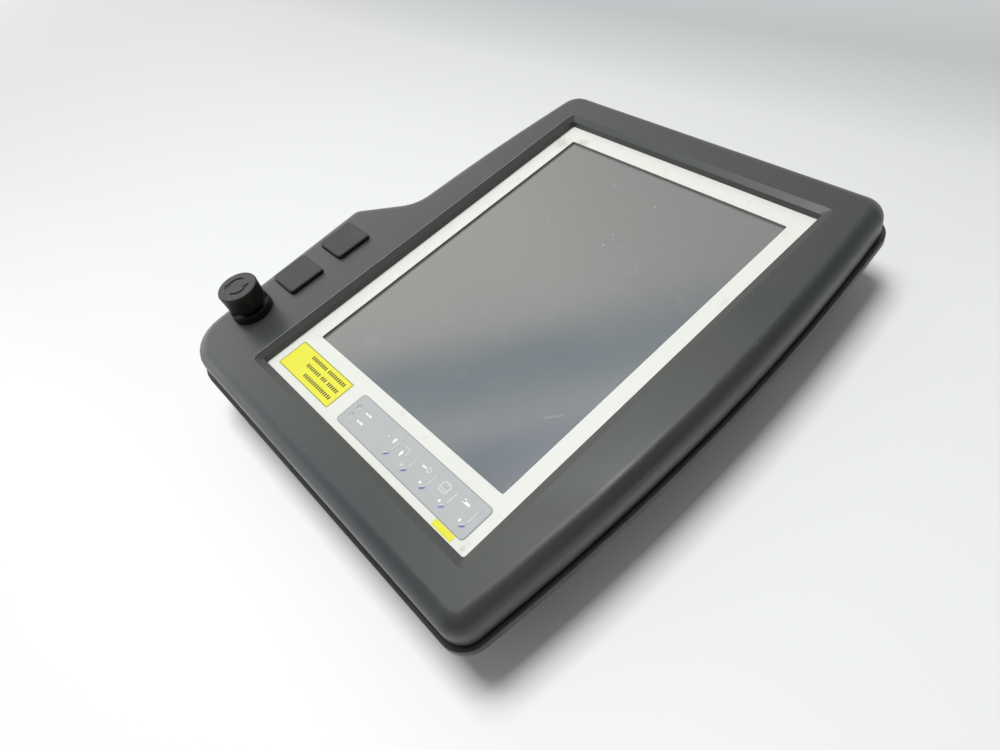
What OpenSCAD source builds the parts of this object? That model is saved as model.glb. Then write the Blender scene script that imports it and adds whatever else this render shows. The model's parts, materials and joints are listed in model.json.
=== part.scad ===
// Handheld teach pendant: a landscape touch screen in a wide moulded frame, with a stop button and
// two push buttons on a raised corner platform, a foil key strip beside the screen, a rear tray with
// an enabling paddle, and a round cable inlet under the lower edge.
// Millimetres. +X runs along the long side, +Y towards the stop button's edge, +Z out of the screen.
// The pendant lies on its rear feet, with the origin below the middle of its outline.

/* [Screen] */
// Visible width of the touch screen
screen_w = 213.3; // [200:0.1:225]
// Visible height of the touch screen
screen_h = 161.8; // [150:0.1:172]
// Thickness of the touch glass
glass_t = 1.8; // [1.1:0.1:3]
// Thickness of the display module
lcd_t = 8.6; // [6:0.1:9]

/* [Front plate] */
// Width of the plate left of the screen, where the key strip lies
margin_left = 32.9; // [31:0.1:40]
// Width of the plate right of the screen
margin_right = 12.6; // [8:0.1:20]
// Width of the plate above and below the screen
margin_top = 11.9; // [8:0.1:20]
// Thickness of the front plate
plate_t = 1.0; // [0.8:0.1:1.5]

/* [Housing] */
// Width of the frame at the left and right of the plate
frame_side = 27.5; // [25:0.1:40]
// Width of the frame above and below the plate, at the middle
frame_top = 33.5; // [30:0.1:45]
// How far the long sides fall back from the middle to the corners
side_bow = 10.2; // [2:0.1:14]
// Height of the frame's face above the front plate
bezel_h = 5.8; // [4.5:0.1:8]
// Radius of the outer shoulder
shoulder_r = 9; // [6:0.5:10]
// Wall thickness of both shells
wall = 3; // [2:0.1:3.5]
// Radius of the corners away from the platform
corner_r = 12; // [11:0.5:20]
// Depth from the frame's face to the seam between the shells
seam_depth = 16.9; // [16:0.1:20]
// How far the rear rim stands out past the front shell
rim_out = 2.4; // [1:0.1:4]
// Height of the rear rim
rim_h = 7.4; // [5:0.1:8]
// Depth from the frame's face to the flat of the back
body_depth = 55.8; // [54:0.1:66]
// Height of the rubber feet
foot_h = 2.5; // [1.5:0.1:5]
// Radius of the rubber feet
foot_r = 8; // [5:0.5:9]

/* [Control platform] */
// How far the platform stands out past the top edge
platform_rise = 32.7; // [28:0.1:40]
// Length of the platform's outer edge
platform_w = 141.7; // [134:0.1:150]
// How far the platform's outer edge falls towards the corner
platform_fall = 7.2; // [0:0.1:9]
// Width of the slope at the platform's end
slope_w = 28.4; // [24:0.1:40]
// Distance from the left side to the stop button's axis
stop_inset = 43.7; // [38:0.1:46]
// Distance from the stop button's axis to the first push button's middle
stop_gap = 35.5; // [30:0.1:38]
// Distance between the middles of the push buttons
cap_pitch = 37.1; // [33:0.1:40]
// Distance from the top edge's middle to the row of buttons
button_row = 7; // [4:0.1:9]

/* [Push buttons] */
// Side of a push button's square cap
cap_size = 24.5; // [18:0.1:26]
// Height of a cap above the frame
cap_h = 2.6; // [2:0.1:4]
// Travel of a cap
cap_travel = 1.8; // [0.8:0.1:1.9]

/* [Stop button] */
// Radius of the stop knob at its top
knob_r = 12.35; // [11.5:0.05:14]
// Height of the knob's top above the frame
knob_top = 20.3; // [18:0.1:26]
// Height of the collar round the knob
collar_h = 5.5; // [4:0.1:6]
// Travel of the stop button
stop_travel = 4.2; // [3:0.1:4.5]
// Radius of the stop button's plunger
plunger_r = 7; // [5:0.1:7.5]

/* [Key strip] */
// Width of the key strip
strip_w = 20.5; // [19:0.1:22]
// Length of the key strip
strip_l = 106.9; // [104:0.1:112]
// Distance from the plate's left edge to the middle of the strip
strip_in = 14.9; // [13:0.1:16]
// Distance from the plate's lower edge to the strip
strip_rise = 8.6; // [5:0.1:12]
// Gap between the key strip and the yellow label
label_gap = 10.45; // [4:0.05:15]
// Distance from the plate's top edge to the yellow label
label_in = 5.95; // [3:0.05:12]
// Distance between keys
key_pitch = 15.15; // [14.2:0.05:15.6]
// Width of a key
key_w = 14; // [10:0.1:15]
// Length of a key
key_l = 12.6; // [9:0.1:13]
// Travel of a key
key_travel = 0.35; // [0.2:0.05:0.4]

/* [Enabling paddle] */
// Length of the enabling paddle
paddle_l = 86; // [60:0.5:100]
// Height of the enabling paddle
paddle_h = 15; // [10:0.1:16]
// Travel of the enabling paddle
paddle_travel = 4.5; // [3:0.1:5]

/* [Rear fittings] */
// Inner radius of the cable inlet's barrel
inlet_r = 8.6; // [7:0.1:9]
// Depth of the cable inlet's barrel
inlet_l = 11; // [8:0.1:12]
// Distance from the middle of the back to the inlet's axis
inlet_x = 60; // [40:0.5:90]
// Side of the square of bracket holes
bracket_pitch = 75; // [60:0.5:80]
// Radius of a bracket hole
bracket_hole_r = 2.15; // [1.6:0.05:2.6]
// Radius of a housing screw's shank
screw_r = 1.6; // [1.2:0.05:1.8]

/* [Hidden] */
$fn = 48;
CORNER_STEPS = 7;
BOW_STEPS = 12;

// Thin joints and clearances
fit = 0.05;
slip = 0.3;
seal_h = 1.2;
gasket_t = 0.4;
seat = 2.5;
bevel_w = 4.5;
bevel_h = 1.6;
foil_t = 0.35;

// Heights above the surface that the feet stand on
back_z = foot_h;
face_z = back_z + body_depth;
plate_z = face_z - bezel_h;
seam_z = face_z - seam_depth;
rim_top = seam_z - seal_h;
rim_z = seam_z - rim_h;
flange_z = rim_z + wall;
floor_z = back_z + wall;
ceiling_z = face_z - wall;

// Outline of the body about the middle of the front plate
plate_w = screen_w + margin_left + margin_right;
plate_h = screen_h + 2 * margin_top;
body_w = plate_w + 2 * frame_side;
body_h = plate_h + 2 * frame_top;
half_w = body_w / 2;
screen_x = (margin_left - margin_right) / 2;
end_half_h = body_h / 2 - side_bow;
platform_end = -half_w + platform_w;
platform_top = body_h / 2 + platform_rise;
slope_end = platform_end + slope_w;

function half_height(x) = body_h / 2 - side_bow * pow(x / half_w, 2);
function rise_at(x) = 2 * side_bow * x / pow(half_w, 2);
function unit(v) = v / norm(v);
function inward(v) = [-v.y, v.x];

foot_point = [slope_end, half_height(slope_end)];
crest_point = [platform_end, platform_top];
shoulder_point = [-half_w, platform_top - platform_fall];
down = [0, -1];
up = [0, 1];
slope_dir = unit(crest_point - foot_point);
crest_dir = unit(shoulder_point - crest_point);

// Corners against the clock: point, direction in, direction out, radius
CORNERS = [
    [[-half_w, -end_half_h], down, unit([1, rise_at(-half_w)]), corner_r],
    [[half_w, -end_half_h], unit([1, rise_at(half_w)]), up, corner_r + 2],
    [[half_w, end_half_h], up, unit([-1, rise_at(half_w)]), corner_r + 2],
    [foot_point, unit([-1, rise_at(slope_end)]), slope_dir, 20],
    [crest_point, slope_dir, crest_dir, 10],
    [shoulder_point, crest_dir, down, 26]
];

// One corner set in by d1 from the edge before it and d2 from the edge after it
function corner(k, d1, d2, rmin) =
    let (c = CORNERS[k], n1 = inward(c[1]), n2 = inward(c[2]), s = n1 * n2,
         convex = cross(c[1], c[2]) > 0,
         r = convex ? max(c[3] - max(d1, d2), rmin) : c[3] + d1,
         e1 = convex ? d1 + r : d1 - r,
         e2 = convex ? d2 + r : d2 - r,
         centre = c[0] + (n1 * (e1 - e2 * s) + n2 * (e2 - e1 * s)) / (1 - s * s),
         turn = (convex ? 1 : -1) * acos(s), start = atan2(n1.y, n1.x))
    [for (i = [0:CORNER_STEPS])
        let (a = start + turn * i / CORNER_STEPS)
        centre + (convex ? -r : r) * [cos(a), sin(a)]];

function bow(from, to, side, d) =
    [for (i = [1:BOW_STEPS - 1])
        let (x = from.x + (to.x - from.x) * i / BOW_STEPS)
        [x, side * (half_height(x) - d)]];

// The outline set in by d, and by dp along the platform's outer edge
function outline(d, dp, rmin) =
    let (lower_left = corner(0, d, d, rmin), lower_right = corner(1, d, d, rmin),
         upper_right = corner(2, d, d, rmin), foot = corner(3, d, d, rmin),
         crest = corner(4, d, dp, rmin), shoulder = corner(5, dp, d, rmin))
    concat(lower_left, bow(lower_left[CORNER_STEPS], lower_right[0], -1, d), lower_right,
           upper_right, bow(upper_right[CORNER_STEPS], foot[0], 1, d), foot, crest, shoulder);

function inset(d) = outline(d, d, 0.8);

// A rounded rectangle with one point for each point of the outline
function arc(centre, r, start) =
    [for (i = [0:CORNER_STEPS])
        let (a = start + 90 * i / CORNER_STEPS) centre + r * [cos(a), sin(a)]];
function along(points, first, count, scale, y) =
    [for (i = [first:first + count - 1]) [points[i].x * scale, y]];
function window(w, h, r) =
    let (n = CORNER_STEPS + 1, b = BOW_STEPS - 1, x = w / 2 - r, y = h / 2 - r,
         guide = inset(0), k = x / half_w)
    concat(arc([-x, -y], r, 180), along(guide, n, b, k, -h / 2), arc([x, -y], r, 270),
           arc([x, y], r, 0), along(guide, 3 * n + b, b + 2 * n, k, h / 2), arc([-x, y], r, 90));

function raise(points, z) = [for (p = points) [p.x, p.y, z]];

// Middle of the rim's outline, which stands over the origin
rim_outline = inset(-rim_out);
rim_high = max([for (p = rim_outline) p.y]);
rim_low = min([for (p = rim_outline) p.y]);
origin_y = (rim_high + rim_low) / 2;

// Places of the controls
row_y = body_h / 2 + button_row;
stop_x = -half_w + stop_inset;
cap_x = [stop_x + stop_gap, stop_x + stop_gap + cap_pitch];
strip_x = -plate_w / 2 + strip_in;
strip_y = -plate_h / 2 + strip_rise + strip_l / 2;
key_y = [for (k = [0:4]) strip_y + 17.9 - key_pitch * k];
strip_low = strip_y - strip_l / 2;
label_low = strip_y + strip_l / 2 + label_gap;
label_high = plate_h / 2 - label_in;

// Adhesive films on the plate
film_t = 0.15;
film_gap = 0.05;
label_slack = 1.1;
sticker_w = 3.6;
sticker_l = 14.1;
sticker_rise = 11.2;

// Layers behind the front plate
gasket_z = plate_z - plate_t - gasket_t;
glass_z = gasket_z - glass_t;
lcd_z = glass_z - lcd_t;
frame_t = 1.2;
frame_z = lcd_z - frame_t;
board_t = 1.6;
board_z = 28.5;
lcd_w = screen_w + 22;
lcd_h = screen_h + 14;
frame_w = plate_w + 2 * seat;
frame_h = plate_h + 2 * seat;

// Housing screws: a little inside the rim, where both shells have a flat
screw_inset = 10.5;
side_screw_x = half_w - screw_inset;
function edge_screw(x, side) = [x, side * (half_height(x) - screw_inset)];
SCREWS = [
    [-side_screw_x, -end_half_h * 0.62], [-side_screw_x, end_half_h * 0.75],
    [side_screw_x, -end_half_h * 0.62], [side_screw_x, end_half_h * 0.62],
    edge_screw(-half_w * 0.5, -1), edge_screw(half_w * 0.72, -1), edge_screw(half_w * 0.72, 1),
    edge_screw(slope_end + 24, 1)
];
boss_r = screw_r + 2;

// Display frame screws, on bosses beside the plate
tab_x = frame_w / 2 + 3.6;
tab_y = plate_h * 0.33;
tab_boss_r = 3.2;
tab_hole_r = 1.3;
TABS = [[-tab_x, -tab_y], [-tab_x, tab_y], [tab_x, -tab_y], [tab_x, tab_y]];

// Places on the back
bracket_at = [-30, 4];
cover_at = [76, 20];
cover_w = 84;
cover_h = 56;
cover_t = 2;
cover_lip = 5;
cover_slip = 0.4;
foot_x = half_w - 46;
foot_low = -end_half_h + 36;
foot_high = end_half_h - 36;
FEET = [[-foot_x, foot_low], [foot_x, foot_low], [foot_x, foot_high], [-foot_x, foot_high + 18]];
CORNER_SIGNS = [[-1, -1], [1, -1], [1, 1], [-1, 1]];

// Cable inlet under the lower edge
inlet_wall = 1.9;
inlet_z = back_z + 17.5;
inlet_flange = 26;
inlet_flange_t = 3;
inlet_face_y = -half_height(inlet_x) + 21;
inlet_boss_l = 12;
inlet_recess = inlet_flange + 0.4;
inlet_rim = 2.5;
inlet_hole_r = inlet_r + inlet_wall + 0.6;

// Enabling paddle in the left wall of the tray
paddle_z = back_z + 15.5;
paddle_out = -half_w + 11.5;
paddle_in = -half_w + 27.5;
paddle_slot = 0.5;

// Control board under the push buttons
cap_skirt = 4;
cap_flange = 1.6;
cap_flange_t = 1.2;
stem_w = 8;
switch_z = face_z - 15;
switch_h = 5;
control_z = switch_z - switch_h - board_t;
control_x = (cap_x[0] + cap_x[1]) / 2;
control_w = cap_pitch + 20;
control_h = 26;
post_y = 9;
POSTS = [for (s = [-1, 1]) [control_x, row_y + s * post_y]];

// Skin through a list of rings of equal count; the last ring joins the first when looped
module skin(rings, looped) {
    n = len(rings[0]);
    m = len(rings);
    points = [for (r = rings) each r];
    sides = [for (i = [0:(looped ? m - 1 : m - 2)]) for (j = [0:n - 1])
        let (a = i * n + j, b = i * n + (j + 1) % n,
             c = ((i + 1) % m) * n + j, d = ((i + 1) % m) * n + (j + 1) % n)
        each [[a, c, d], [a, d, b]]];
    caps = looped ? [] : [[for (j = [0:n - 1]) j], [for (j = [0:n - 1]) m * n - 1 - j]];
    polyhedron(points, concat(sides, caps), convexity = 8);
}

module placed() {
    translate([0, -origin_y, 0]) children();
}

module rounded(w, h, r) {
    square([w - 2 * r, h], center = true);
    square([w, h - 2 * r], center = true);
    for (s = CORNER_SIGNS) translate([s.x * (w / 2 - r), s.y * (h / 2 - r)]) circle(r);
}

module slab(w, h, r, z, t) {
    translate([0, 0, z]) linear_extrude(t) rounded(w, h, r);
}

module block(w, h, z, t) {
    translate([-w / 2, -h / 2, z]) cube([w, h, t]);
}

module rod(r, z, h) {
    translate([0, 0, z]) cylinder(r = r, h = h);
}

// ---- Housing ----

shoulder_steps = 6;
inner_r = shoulder_r - wall;

module front_skin() {
    outer = [for (i = [0:shoulder_steps])
        let (a = 90 * i / shoulder_steps)
        raise(inset(shoulder_r * (1 - cos(a))), face_z - shoulder_r + shoulder_r * sin(a))];
    inner = [for (i = [4:-1:0])
        let (a = 90 * i / 4)
        raise(inset(wall + inner_r * (1 - cos(a))), face_z - shoulder_r + inner_r * sin(a))];
    skin(concat(
        [raise(inset(0), seam_z)],
        outer,
        [raise(window(plate_w + 2 * bevel_w, plate_h + 2 * bevel_w, 3), face_z),
         raise(window(plate_w, plate_h, 1.5), face_z - bevel_h),
         raise(window(plate_w, plate_h, 1.5), plate_z),
         raise(window(frame_w, frame_h, 2), plate_z),
         raise(window(frame_w, frame_h, 2), ceiling_z)],
        inner,
        [raise(inset(wall), seam_z)]), true);
}

module front_shell() {
    color("#5c5d5c") placed() difference() {
        union() {
            front_skin();
            for (p = SCREWS) translate(p) rod(boss_r, flange_z, ceiling_z + 0.5 - flange_z);
            for (p = TABS) translate(p)
                rod(tab_boss_r, frame_z + frame_t, ceiling_z + 0.5 - frame_z - frame_t);
            for (p = POSTS) translate(p)
                rod(2.8, control_z + board_t, ceiling_z + 0.5 - control_z - board_t);
        }
        for (p = SCREWS) translate(p) rod(screw_r + fit, flange_z - 1, 12);
        for (p = TABS) translate(p) rod(tab_hole_r + fit, frame_z, 9);
        for (p = POSTS) translate(p) rod(tab_hole_r + fit, control_z, 8);
        translate([stop_x, row_y]) {
            rod(stop_barrel_r + 0.15, ceiling_z - 2, wall + 4);
            rod(nut_r + 0.2, ceiling_z - nut_h, nut_h);
        }
        for (x = cap_x) translate([x, row_y])
            slab(cap_size + 2 * slip, cap_size + 2 * slip, 2.5 + slip, ceiling_z - 2, wall + 4);
    }
}

// Rear tray: distance in from the outline, the same along the platform, height, least radius
REAR_OUTER = [
    [31, 14, back_z, 10], [27, 10.5, back_z + 1.2, 10], [23, 7.5, back_z + 4.5, 10],
    [20.5, 5.2, back_z + 10, 10], [17, 4.6, rim_z - 4, 8], [15, 4, rim_z, 6],
    [0.2, 0.2, rim_z, 0.8], [-rim_out * 0.6, -rim_out * 0.6, rim_z + 0.5, 0.8],
    [-rim_out, -rim_out, rim_z + 2, 0.8], [-rim_out, -rim_out, rim_top, 0.8]
];
REAR_INNER = [
    [5, 3.2, rim_top, 2], [5, 3.2, flange_z, 2], [18, 7, flange_z, 6], [20.5, 7.6, rim_z - 3, 6],
    [23.5, 8.2, back_z + 10, 8], [27, 11, floor_z + 2.5, 8], [31.5, 15, floor_z, 8]
];

module rear_skin() {
    skin([for (r = concat(REAR_OUTER, REAR_INNER)) raise(outline(r[0], r[1], r[3]), r[2])], false);
}

// Directions along Y, towards the lower edge, and along X, towards the left side
module along_y(x, y, z) {
    translate([x, y, z]) rotate([90, 0, 0]) children();
}
module along_x(x, y, z) {
    translate([x, y, z]) rotate([0, -90, 0]) children();
}

module rear_shell() {
    color("#3e3f3f") placed() difference() {
        union() {
            rear_skin();
            for (s = CORNER_SIGNS) translate(bracket_at + s * bracket_pitch / 2)
                rod(bracket_hole_r + 2.4, floor_z - 0.5, 6.5);
            for (p = INTERFACE_POSTS) translate(p) rod(3, floor_z - 0.5, 3.5);
            for (s = CORNER_SIGNS) translate(cover_at + [s.x * cover_screw_x, s.y * cover_screw_y])
                rod(3.2, floor_z - 0.5, 4.5);
            along_y(inlet_x, inlet_face_y + inlet_boss_l, inlet_z)
                linear_extrude(inlet_boss_l + 0.5)
                    rounded(inlet_flange + 2 * inlet_rim, inlet_flange + 2 * inlet_rim, 3 + inlet_rim);
        }
        for (p = SCREWS) translate(p) rod(screw_r + 0.4, rim_z - 1, wall + 2);
        for (s = CORNER_SIGNS) translate(bracket_at + s * bracket_pitch / 2)
            rod(bracket_hole_r, back_z - 1, 9);
        for (p = INTERFACE_POSTS) translate(p) rod(tab_hole_r + fit, floor_z - 1.5, 6);
        translate(cover_at)
            slab(cover_w + 2 * cover_slip, cover_h + 2 * cover_slip, 4, back_z - 1, cover_t + 1);
        translate(cover_at) slab(cover_w - 2 * cover_lip - 8, cover_h - 2 * cover_lip, 3, back_z, wall + 1);
        for (s = CORNER_SIGNS) translate(cover_at + [s.x * cover_screw_x, s.y * cover_screw_y])
            rod(tab_hole_r + fit, back_z, wall + 4);
        along_y(inlet_x, inlet_face_y, inlet_z)
            linear_extrude(14) rounded(inlet_recess, inlet_recess, 3.2);
        along_y(inlet_x, inlet_face_y + inlet_boss_l + 1, inlet_z)
            cylinder(r = inlet_hole_r, h = inlet_boss_l + 6);
        at_inlet_screws(inlet_face_y + 5.2) cylinder(r = inlet_screw_r + fit, h = 6);
        along_x(-half_w + 28, 0, paddle_z)
            linear_extrude(22) rounded(paddle_h + 2 * paddle_slot, paddle_l + 2 * paddle_slot, 5);
    }
}

module housing_seal() {
    color("#0c0c0c") placed() skin([
        raise(inset(1), rim_top), raise(inset(1), seam_z),
        raise(inset(wall), seam_z), raise(inset(wall), rim_top)], true);
}

module housing_screws() {
    color("#8b8c8e") placed() for (p = SCREWS) translate(p) difference() {
        union() {
            rod(screw_r, rim_z - 0.5, 10);
            rod(3.3, rim_z - 2.2, 2.2);
        }
        rod(1.4, rim_z - 3, 1.9, $fn = 6);
    }
}

module rubber_feet() {
    color("#1b1b1b") placed() for (p = FEET) translate(p) {
        rod(foot_r, foot_h * 0.35, foot_h * 0.65);
        translate([0, 0, 0]) cylinder(r1 = foot_r - foot_h * 0.35, r2 = foot_r, h = foot_h * 0.35);
    }
}

cover_screw_x = cover_w / 2 - 5;
cover_screw_y = cover_h / 2 - 9;

module service_cover() {
    color("#444545") placed() translate(cover_at) difference() {
        slab(cover_w, cover_h, 3.6, back_z, cover_t);
        for (s = CORNER_SIGNS) translate([s.x * cover_screw_x, s.y * cover_screw_y])
            rod(tab_hole_r + 0.3, back_z - 1, cover_t + 2);
        for (s = CORNER_SIGNS) translate([s.x * cover_screw_x, s.y * cover_screw_y])
            rod(2.6, back_z - 1, 2);
        for (i = [-2:2]) translate([i * 7, 0]) slab(2.4, 24, 1.1, back_z - 1, 1.6);
    }
}

module cover_screws() {
    color("#8b8c8e") placed() translate(cover_at)
    for (s = CORNER_SIGNS) translate([s.x * cover_screw_x, s.y * cover_screw_y]) difference() {
        union() {
            rod(tab_hole_r, back_z + 0.9, 5);
            rod(2.4, back_z, 1);
        }
        rod(1, back_z - 1, 1.8, $fn = 6);
    }
}

// ---- Front plate and display stack ----

module front_plate() {
    color("#e3e5de") placed() difference() {
        slab(frame_w, frame_h, 2, plate_z - plate_t, plate_t);
        translate([screen_x, 0]) slab(screen_w, screen_h, 1.2, plate_z - plate_t - 1, plate_t + 2);
        for (y = key_y) translate([strip_x, y])
            slab(key_w + 0.6, key_l + 0.6, 1.8, plate_z - plate_t - 1, plate_t + 2);
        for (p = LAMPS) translate(p) rod(1.2, plate_z - plate_t - 1, plate_t + 2);
    }
}

module screen_gasket() {
    color("#161616") placed() translate([screen_x, 0]) difference() {
        slab(screen_w + 7, screen_h + 7, 2, gasket_z, gasket_t);
        slab(screen_w + 0.4, screen_h + 0.4, 1.2, gasket_z - 1, gasket_t + 2);
    }
}

module touch_panel() {
    color("#8f938f") placed() translate([screen_x, 0])
        slab(screen_w + 7, screen_h + 7, 2, glass_z, glass_t);
}

module lcd_module() {
    color("#9aa0a4") placed() translate([screen_x, 0]) {
        block(lcd_w, lcd_h, lcd_z, lcd_t - 1.4);
        block(lcd_w - 12, lcd_h - 10, lcd_z + lcd_t - 1.4, 1.4);
    }
}

module display_frame() {
    color("#b5b8ba") placed() difference() {
        union() {
            slab(frame_w, frame_h, 3, frame_z, frame_t);
            for (p = TABS) translate(p) rod(5, frame_z, frame_t);
        }
        for (p = TABS) translate(p) rod(tab_hole_r + 0.3, frame_z - 1, frame_t + 2);
        translate([screen_x, 0]) slab(lcd_w - 70, lcd_h - 60, 6, frame_z - 1, frame_t + 2);
        translate([strip_x, strip_y]) slab(strip_w - 6, strip_l - 12, 4, frame_z - 1, frame_t + 2);
    }
}

module display_screws() {
    color("#8b8c8e") placed() for (p = TABS) translate(p) {
        rod(tab_hole_r, frame_z - 0.5, 8);
        rod(2.5, frame_z - 1.8, 1.8);
    }
}

sink_w = 56;
sink_h = 44;
sink_t = 12;
sink_base = 3;
sink_fins = 8;
fin_t = 2;
port_t = 8;
battery_r = 7.2;
battery_l = 46;
cable_w = 24;
cable_l = 12;
cable_t = 0.6;

board_w = screen_w + 14;
board_h = screen_h;
post_at = [board_w / 2 - 8, board_h / 2 - 8];
standoff_r = 2.8;

module main_board() {
    color("#1f5a3a") placed() translate([screen_x, 0]) difference() {
        block(board_w, board_h, board_z, board_t);
        for (s = CORNER_SIGNS) translate([s.x * post_at.x, s.y * post_at.y])
            rod(1.6, board_z - 1, board_t + 2);
    }
}

module board_standoffs() {
    color("#c9a548") placed() translate([screen_x, 0])
    for (s = CORNER_SIGNS) translate([s.x * post_at.x, s.y * post_at.y]) {
        rod(standoff_r, board_z + board_t, frame_z - board_z - board_t);
        rod(1.5, board_z - 1.2, board_t + 2.2);
        rod(2.6, board_z - 2.4, 2.4);
    }
}

module heat_sink() {
    color("#aeb2b5") placed() translate([screen_x + board_w * 0.045, board_h * 0.185]) {
        block(sink_w, sink_h, board_z - sink_base, sink_base);
        for (i = [0:sink_fins - 1])
            translate([(i + 0.5 - sink_fins / 2) * (sink_w - fin_t) / (sink_fins - 0.5), 0])
                block(fin_t, sink_h, board_z - sink_t, sink_t - sink_base + 0.2);
    }
}

module board_connectors() {
    color("#1c1c1e") placed() translate([screen_x, 0]) {
        for (y = [-0.32, -0.185, 0.32]) translate([board_w / 2 - 2 * port_t, y * board_h])
            block(1.75 * port_t, 2 * port_t, board_z - port_t, port_t);
        for (x = [-0.31, -0.195]) translate([x * board_w, -board_h / 2 + 1.75 * port_t])
            block(2.5 * port_t, 1.1 * port_t, board_z - port_t, port_t);
    }
}

module buffer_battery() {
    color("#d8d9d4") placed()
        translate([screen_x - board_w * 0.353, board_h * 0.297, board_z - battery_r - 0.2])
            rotate([0, 90, 0]) {
                cylinder(r = battery_r, h = battery_l);
                cylinder(r = battery_r * 0.4, h = battery_l + battery_r * 0.2);
            }
}

interface_w = 70;
interface_h = 36;
interface_z = floor_z + 3;
interface_at = [inlet_x - 10, inlet_face_y + 37];
INTERFACE_POSTS = [for (s = CORNER_SIGNS)
    interface_at + [s.x * (interface_w / 2 - 4), s.y * (interface_h / 2 - 4)]];

module interface_board() {
    color("#24634a") placed() difference() {
        translate(interface_at) {
            block(interface_w, interface_h, interface_z, board_t);
            translate([10, -interface_h / 3])
                block(3 * port_t, port_t, interface_z + board_t, 1.5 * port_t);
            translate([-2 * port_t, 2])
                block(1.25 * port_t, 2.5 * port_t, interface_z + board_t, 0.75 * port_t);
        }
        for (p = INTERFACE_POSTS) translate(p) rod(tab_hole_r + 0.3, interface_z - 1, board_t + 2);
    }
}

module interface_posts() {
    color("#8b8c8e") placed() for (p = INTERFACE_POSTS) translate(p) {
        rod(tab_hole_r, interface_z - 3, 3 + board_t + 0.2);
        rod(2.4, interface_z + board_t, 1.6);
    }
}

module display_cable() {
    color("#d9d2b8") placed() translate([screen_x + board_w * 0.27, board_h * 0.25]) {
        block(cable_w, cable_l, board_z + board_t, 2.5);
        block(cable_w - 2, cable_t, board_z + board_t + 2.3, frame_z - board_z - board_t - 2.4);
    }
}

// ---- Key strip ----

LAMPS = [[strip_x - 3.05, strip_y + 48.65], [strip_x + 3.05, strip_y + 48.65]];

module key_foil() {
    color("#c4c4c2") placed() difference() {
        translate([strip_x, strip_y]) slab(strip_w, strip_l, 2.5, plate_z, foil_t);
        for (y = key_y) translate([strip_x, y])
            slab(key_w + 0.3, key_l + 0.3, 1.65, plate_z - 1, foil_t + 2);
        for (p = LAMPS) translate(p) rod(1.5, plate_z - 1, foil_t + 2);
    }
}

module key_circuit() {
    color("#2b6b4a") placed() translate([strip_x, strip_y])
        block(strip_w, strip_l, plate_z - plate_t - 1.2, 1.2);
}

module key_domes() {
    color("#c8cacc") placed() {
        for (y = key_y) translate([strip_x, y]) rod(4, plate_z - plate_t, 0.15);
        for (p = LAMPS) translate(p) rod(1.1, plate_z - plate_t, plate_t + 0.1);
    }
}

module key(k) {
    low = plate_z - plate_t + key_travel + 0.2;
    color("#c6c6c4") placed() translate([strip_x, key_y[k]])
        slab(key_w, key_l, 1.5, low, plate_z + foil_t + 0.05 - low);
}

module key_1() { key(0); }
module key_2() { key(1); }
module key_3() { key(2); }
module key_4() { key(3); }
module key_5() { key(4); }

module yellow_label() {
    color("#f4ee3c") placed() translate([strip_x, (label_low + label_high) / 2])
        slab(strip_w - label_slack, label_high - label_low, 0.8, plate_z, film_t);
}

module strip_sticker() {
    color("#f2ee30") placed()
        translate([strip_x - strip_w / 2 - sticker_w / 2 - film_gap, strip_low + sticker_rise])
            slab(sticker_w, sticker_l, 0.2, plate_z, film_t);
}

// ---- Stop button ----

stop_barrel_r = 11;
nut_r = stop_barrel_r + 3;
nut_h = 3;
collar_r = knob_r + 0.55;
knob_low_r = knob_r - 0.6;
knob_low = stop_travel + 2.4;
gasket_h = 0.6;
barrel_l = 15;
knob_bore_r = 4.5;
spigot_top = knob_top - 5;

module stop_part(z) {
    placed() translate([stop_x, row_y, face_z + z]) children();
}

module stop_collar() {
    color("#141416") stop_part(0) rotate_extrude() polygon([
        [plunger_r + fit, -barrel_l], [stop_barrel_r, -barrel_l], [stop_barrel_r, gasket_h],
        [collar_r, gasket_h], [collar_r, collar_h - 0.3], [collar_r - 0.3, collar_h],
        [collar_r - 0.8, collar_h], [collar_r - 0.8, gasket_h + 1.2], [plunger_r + fit, gasket_h + 1.2]]);
}

module stop_gasket() {
    color("#0d0d0d") stop_part(0) difference() {
        cylinder(r = collar_r - 0.2, h = gasket_h);
        translate([0, 0, -1]) cylinder(r = stop_barrel_r + 0.05, h = gasket_h + 2);
    }
}

module stop_nut() {
    color("#9a9da0") stop_part(-wall - nut_h) difference() {
        cylinder(r = nut_r, h = nut_h, $fn = 8);
        translate([0, 0, -1]) cylinder(r = stop_barrel_r + fit, h = nut_h + 2);
    }
}

block_top = -barrel_l + 4;
block_h = 21;

module stop_contact_block() {
    color("#2a2c33") stop_part(0) difference() {
        block(24, 24, block_top - block_h, block_h);
        rod(stop_barrel_r + 0.05, -barrel_l, 20);
        rod(plunger_r + 1.5, -barrel_l - stop_travel - 4, 20);
        for (s = [-1, 1]) translate([s * 8.5, 0]) rod(1.4, block_top - block_h - 1, 5);
    }
}

module stop_plunger() {
    color("#2a2a2c") stop_part(0) {
        rod(plunger_r, -barrel_l - 2, barrel_l + 2 + knob_low + 1);
        rod(knob_bore_r, knob_low + 1, spigot_top - knob_low - 1);
        rod(3, -barrel_l - 3.5, 1.5);
    }
}

// Wire ring spring between the block's floor and the plunger's end
spring_turns = 3;
spring_wire = 0.4;
spring_low = -barrel_l - stop_travel - 4 + spring_wire;
spring_high = -barrel_l - 2 - spring_wire;
spring_pitch = (spring_high - spring_low) / spring_turns;
SPRING_STEPS = 16;
SPRING_SIDES = 6;

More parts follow.
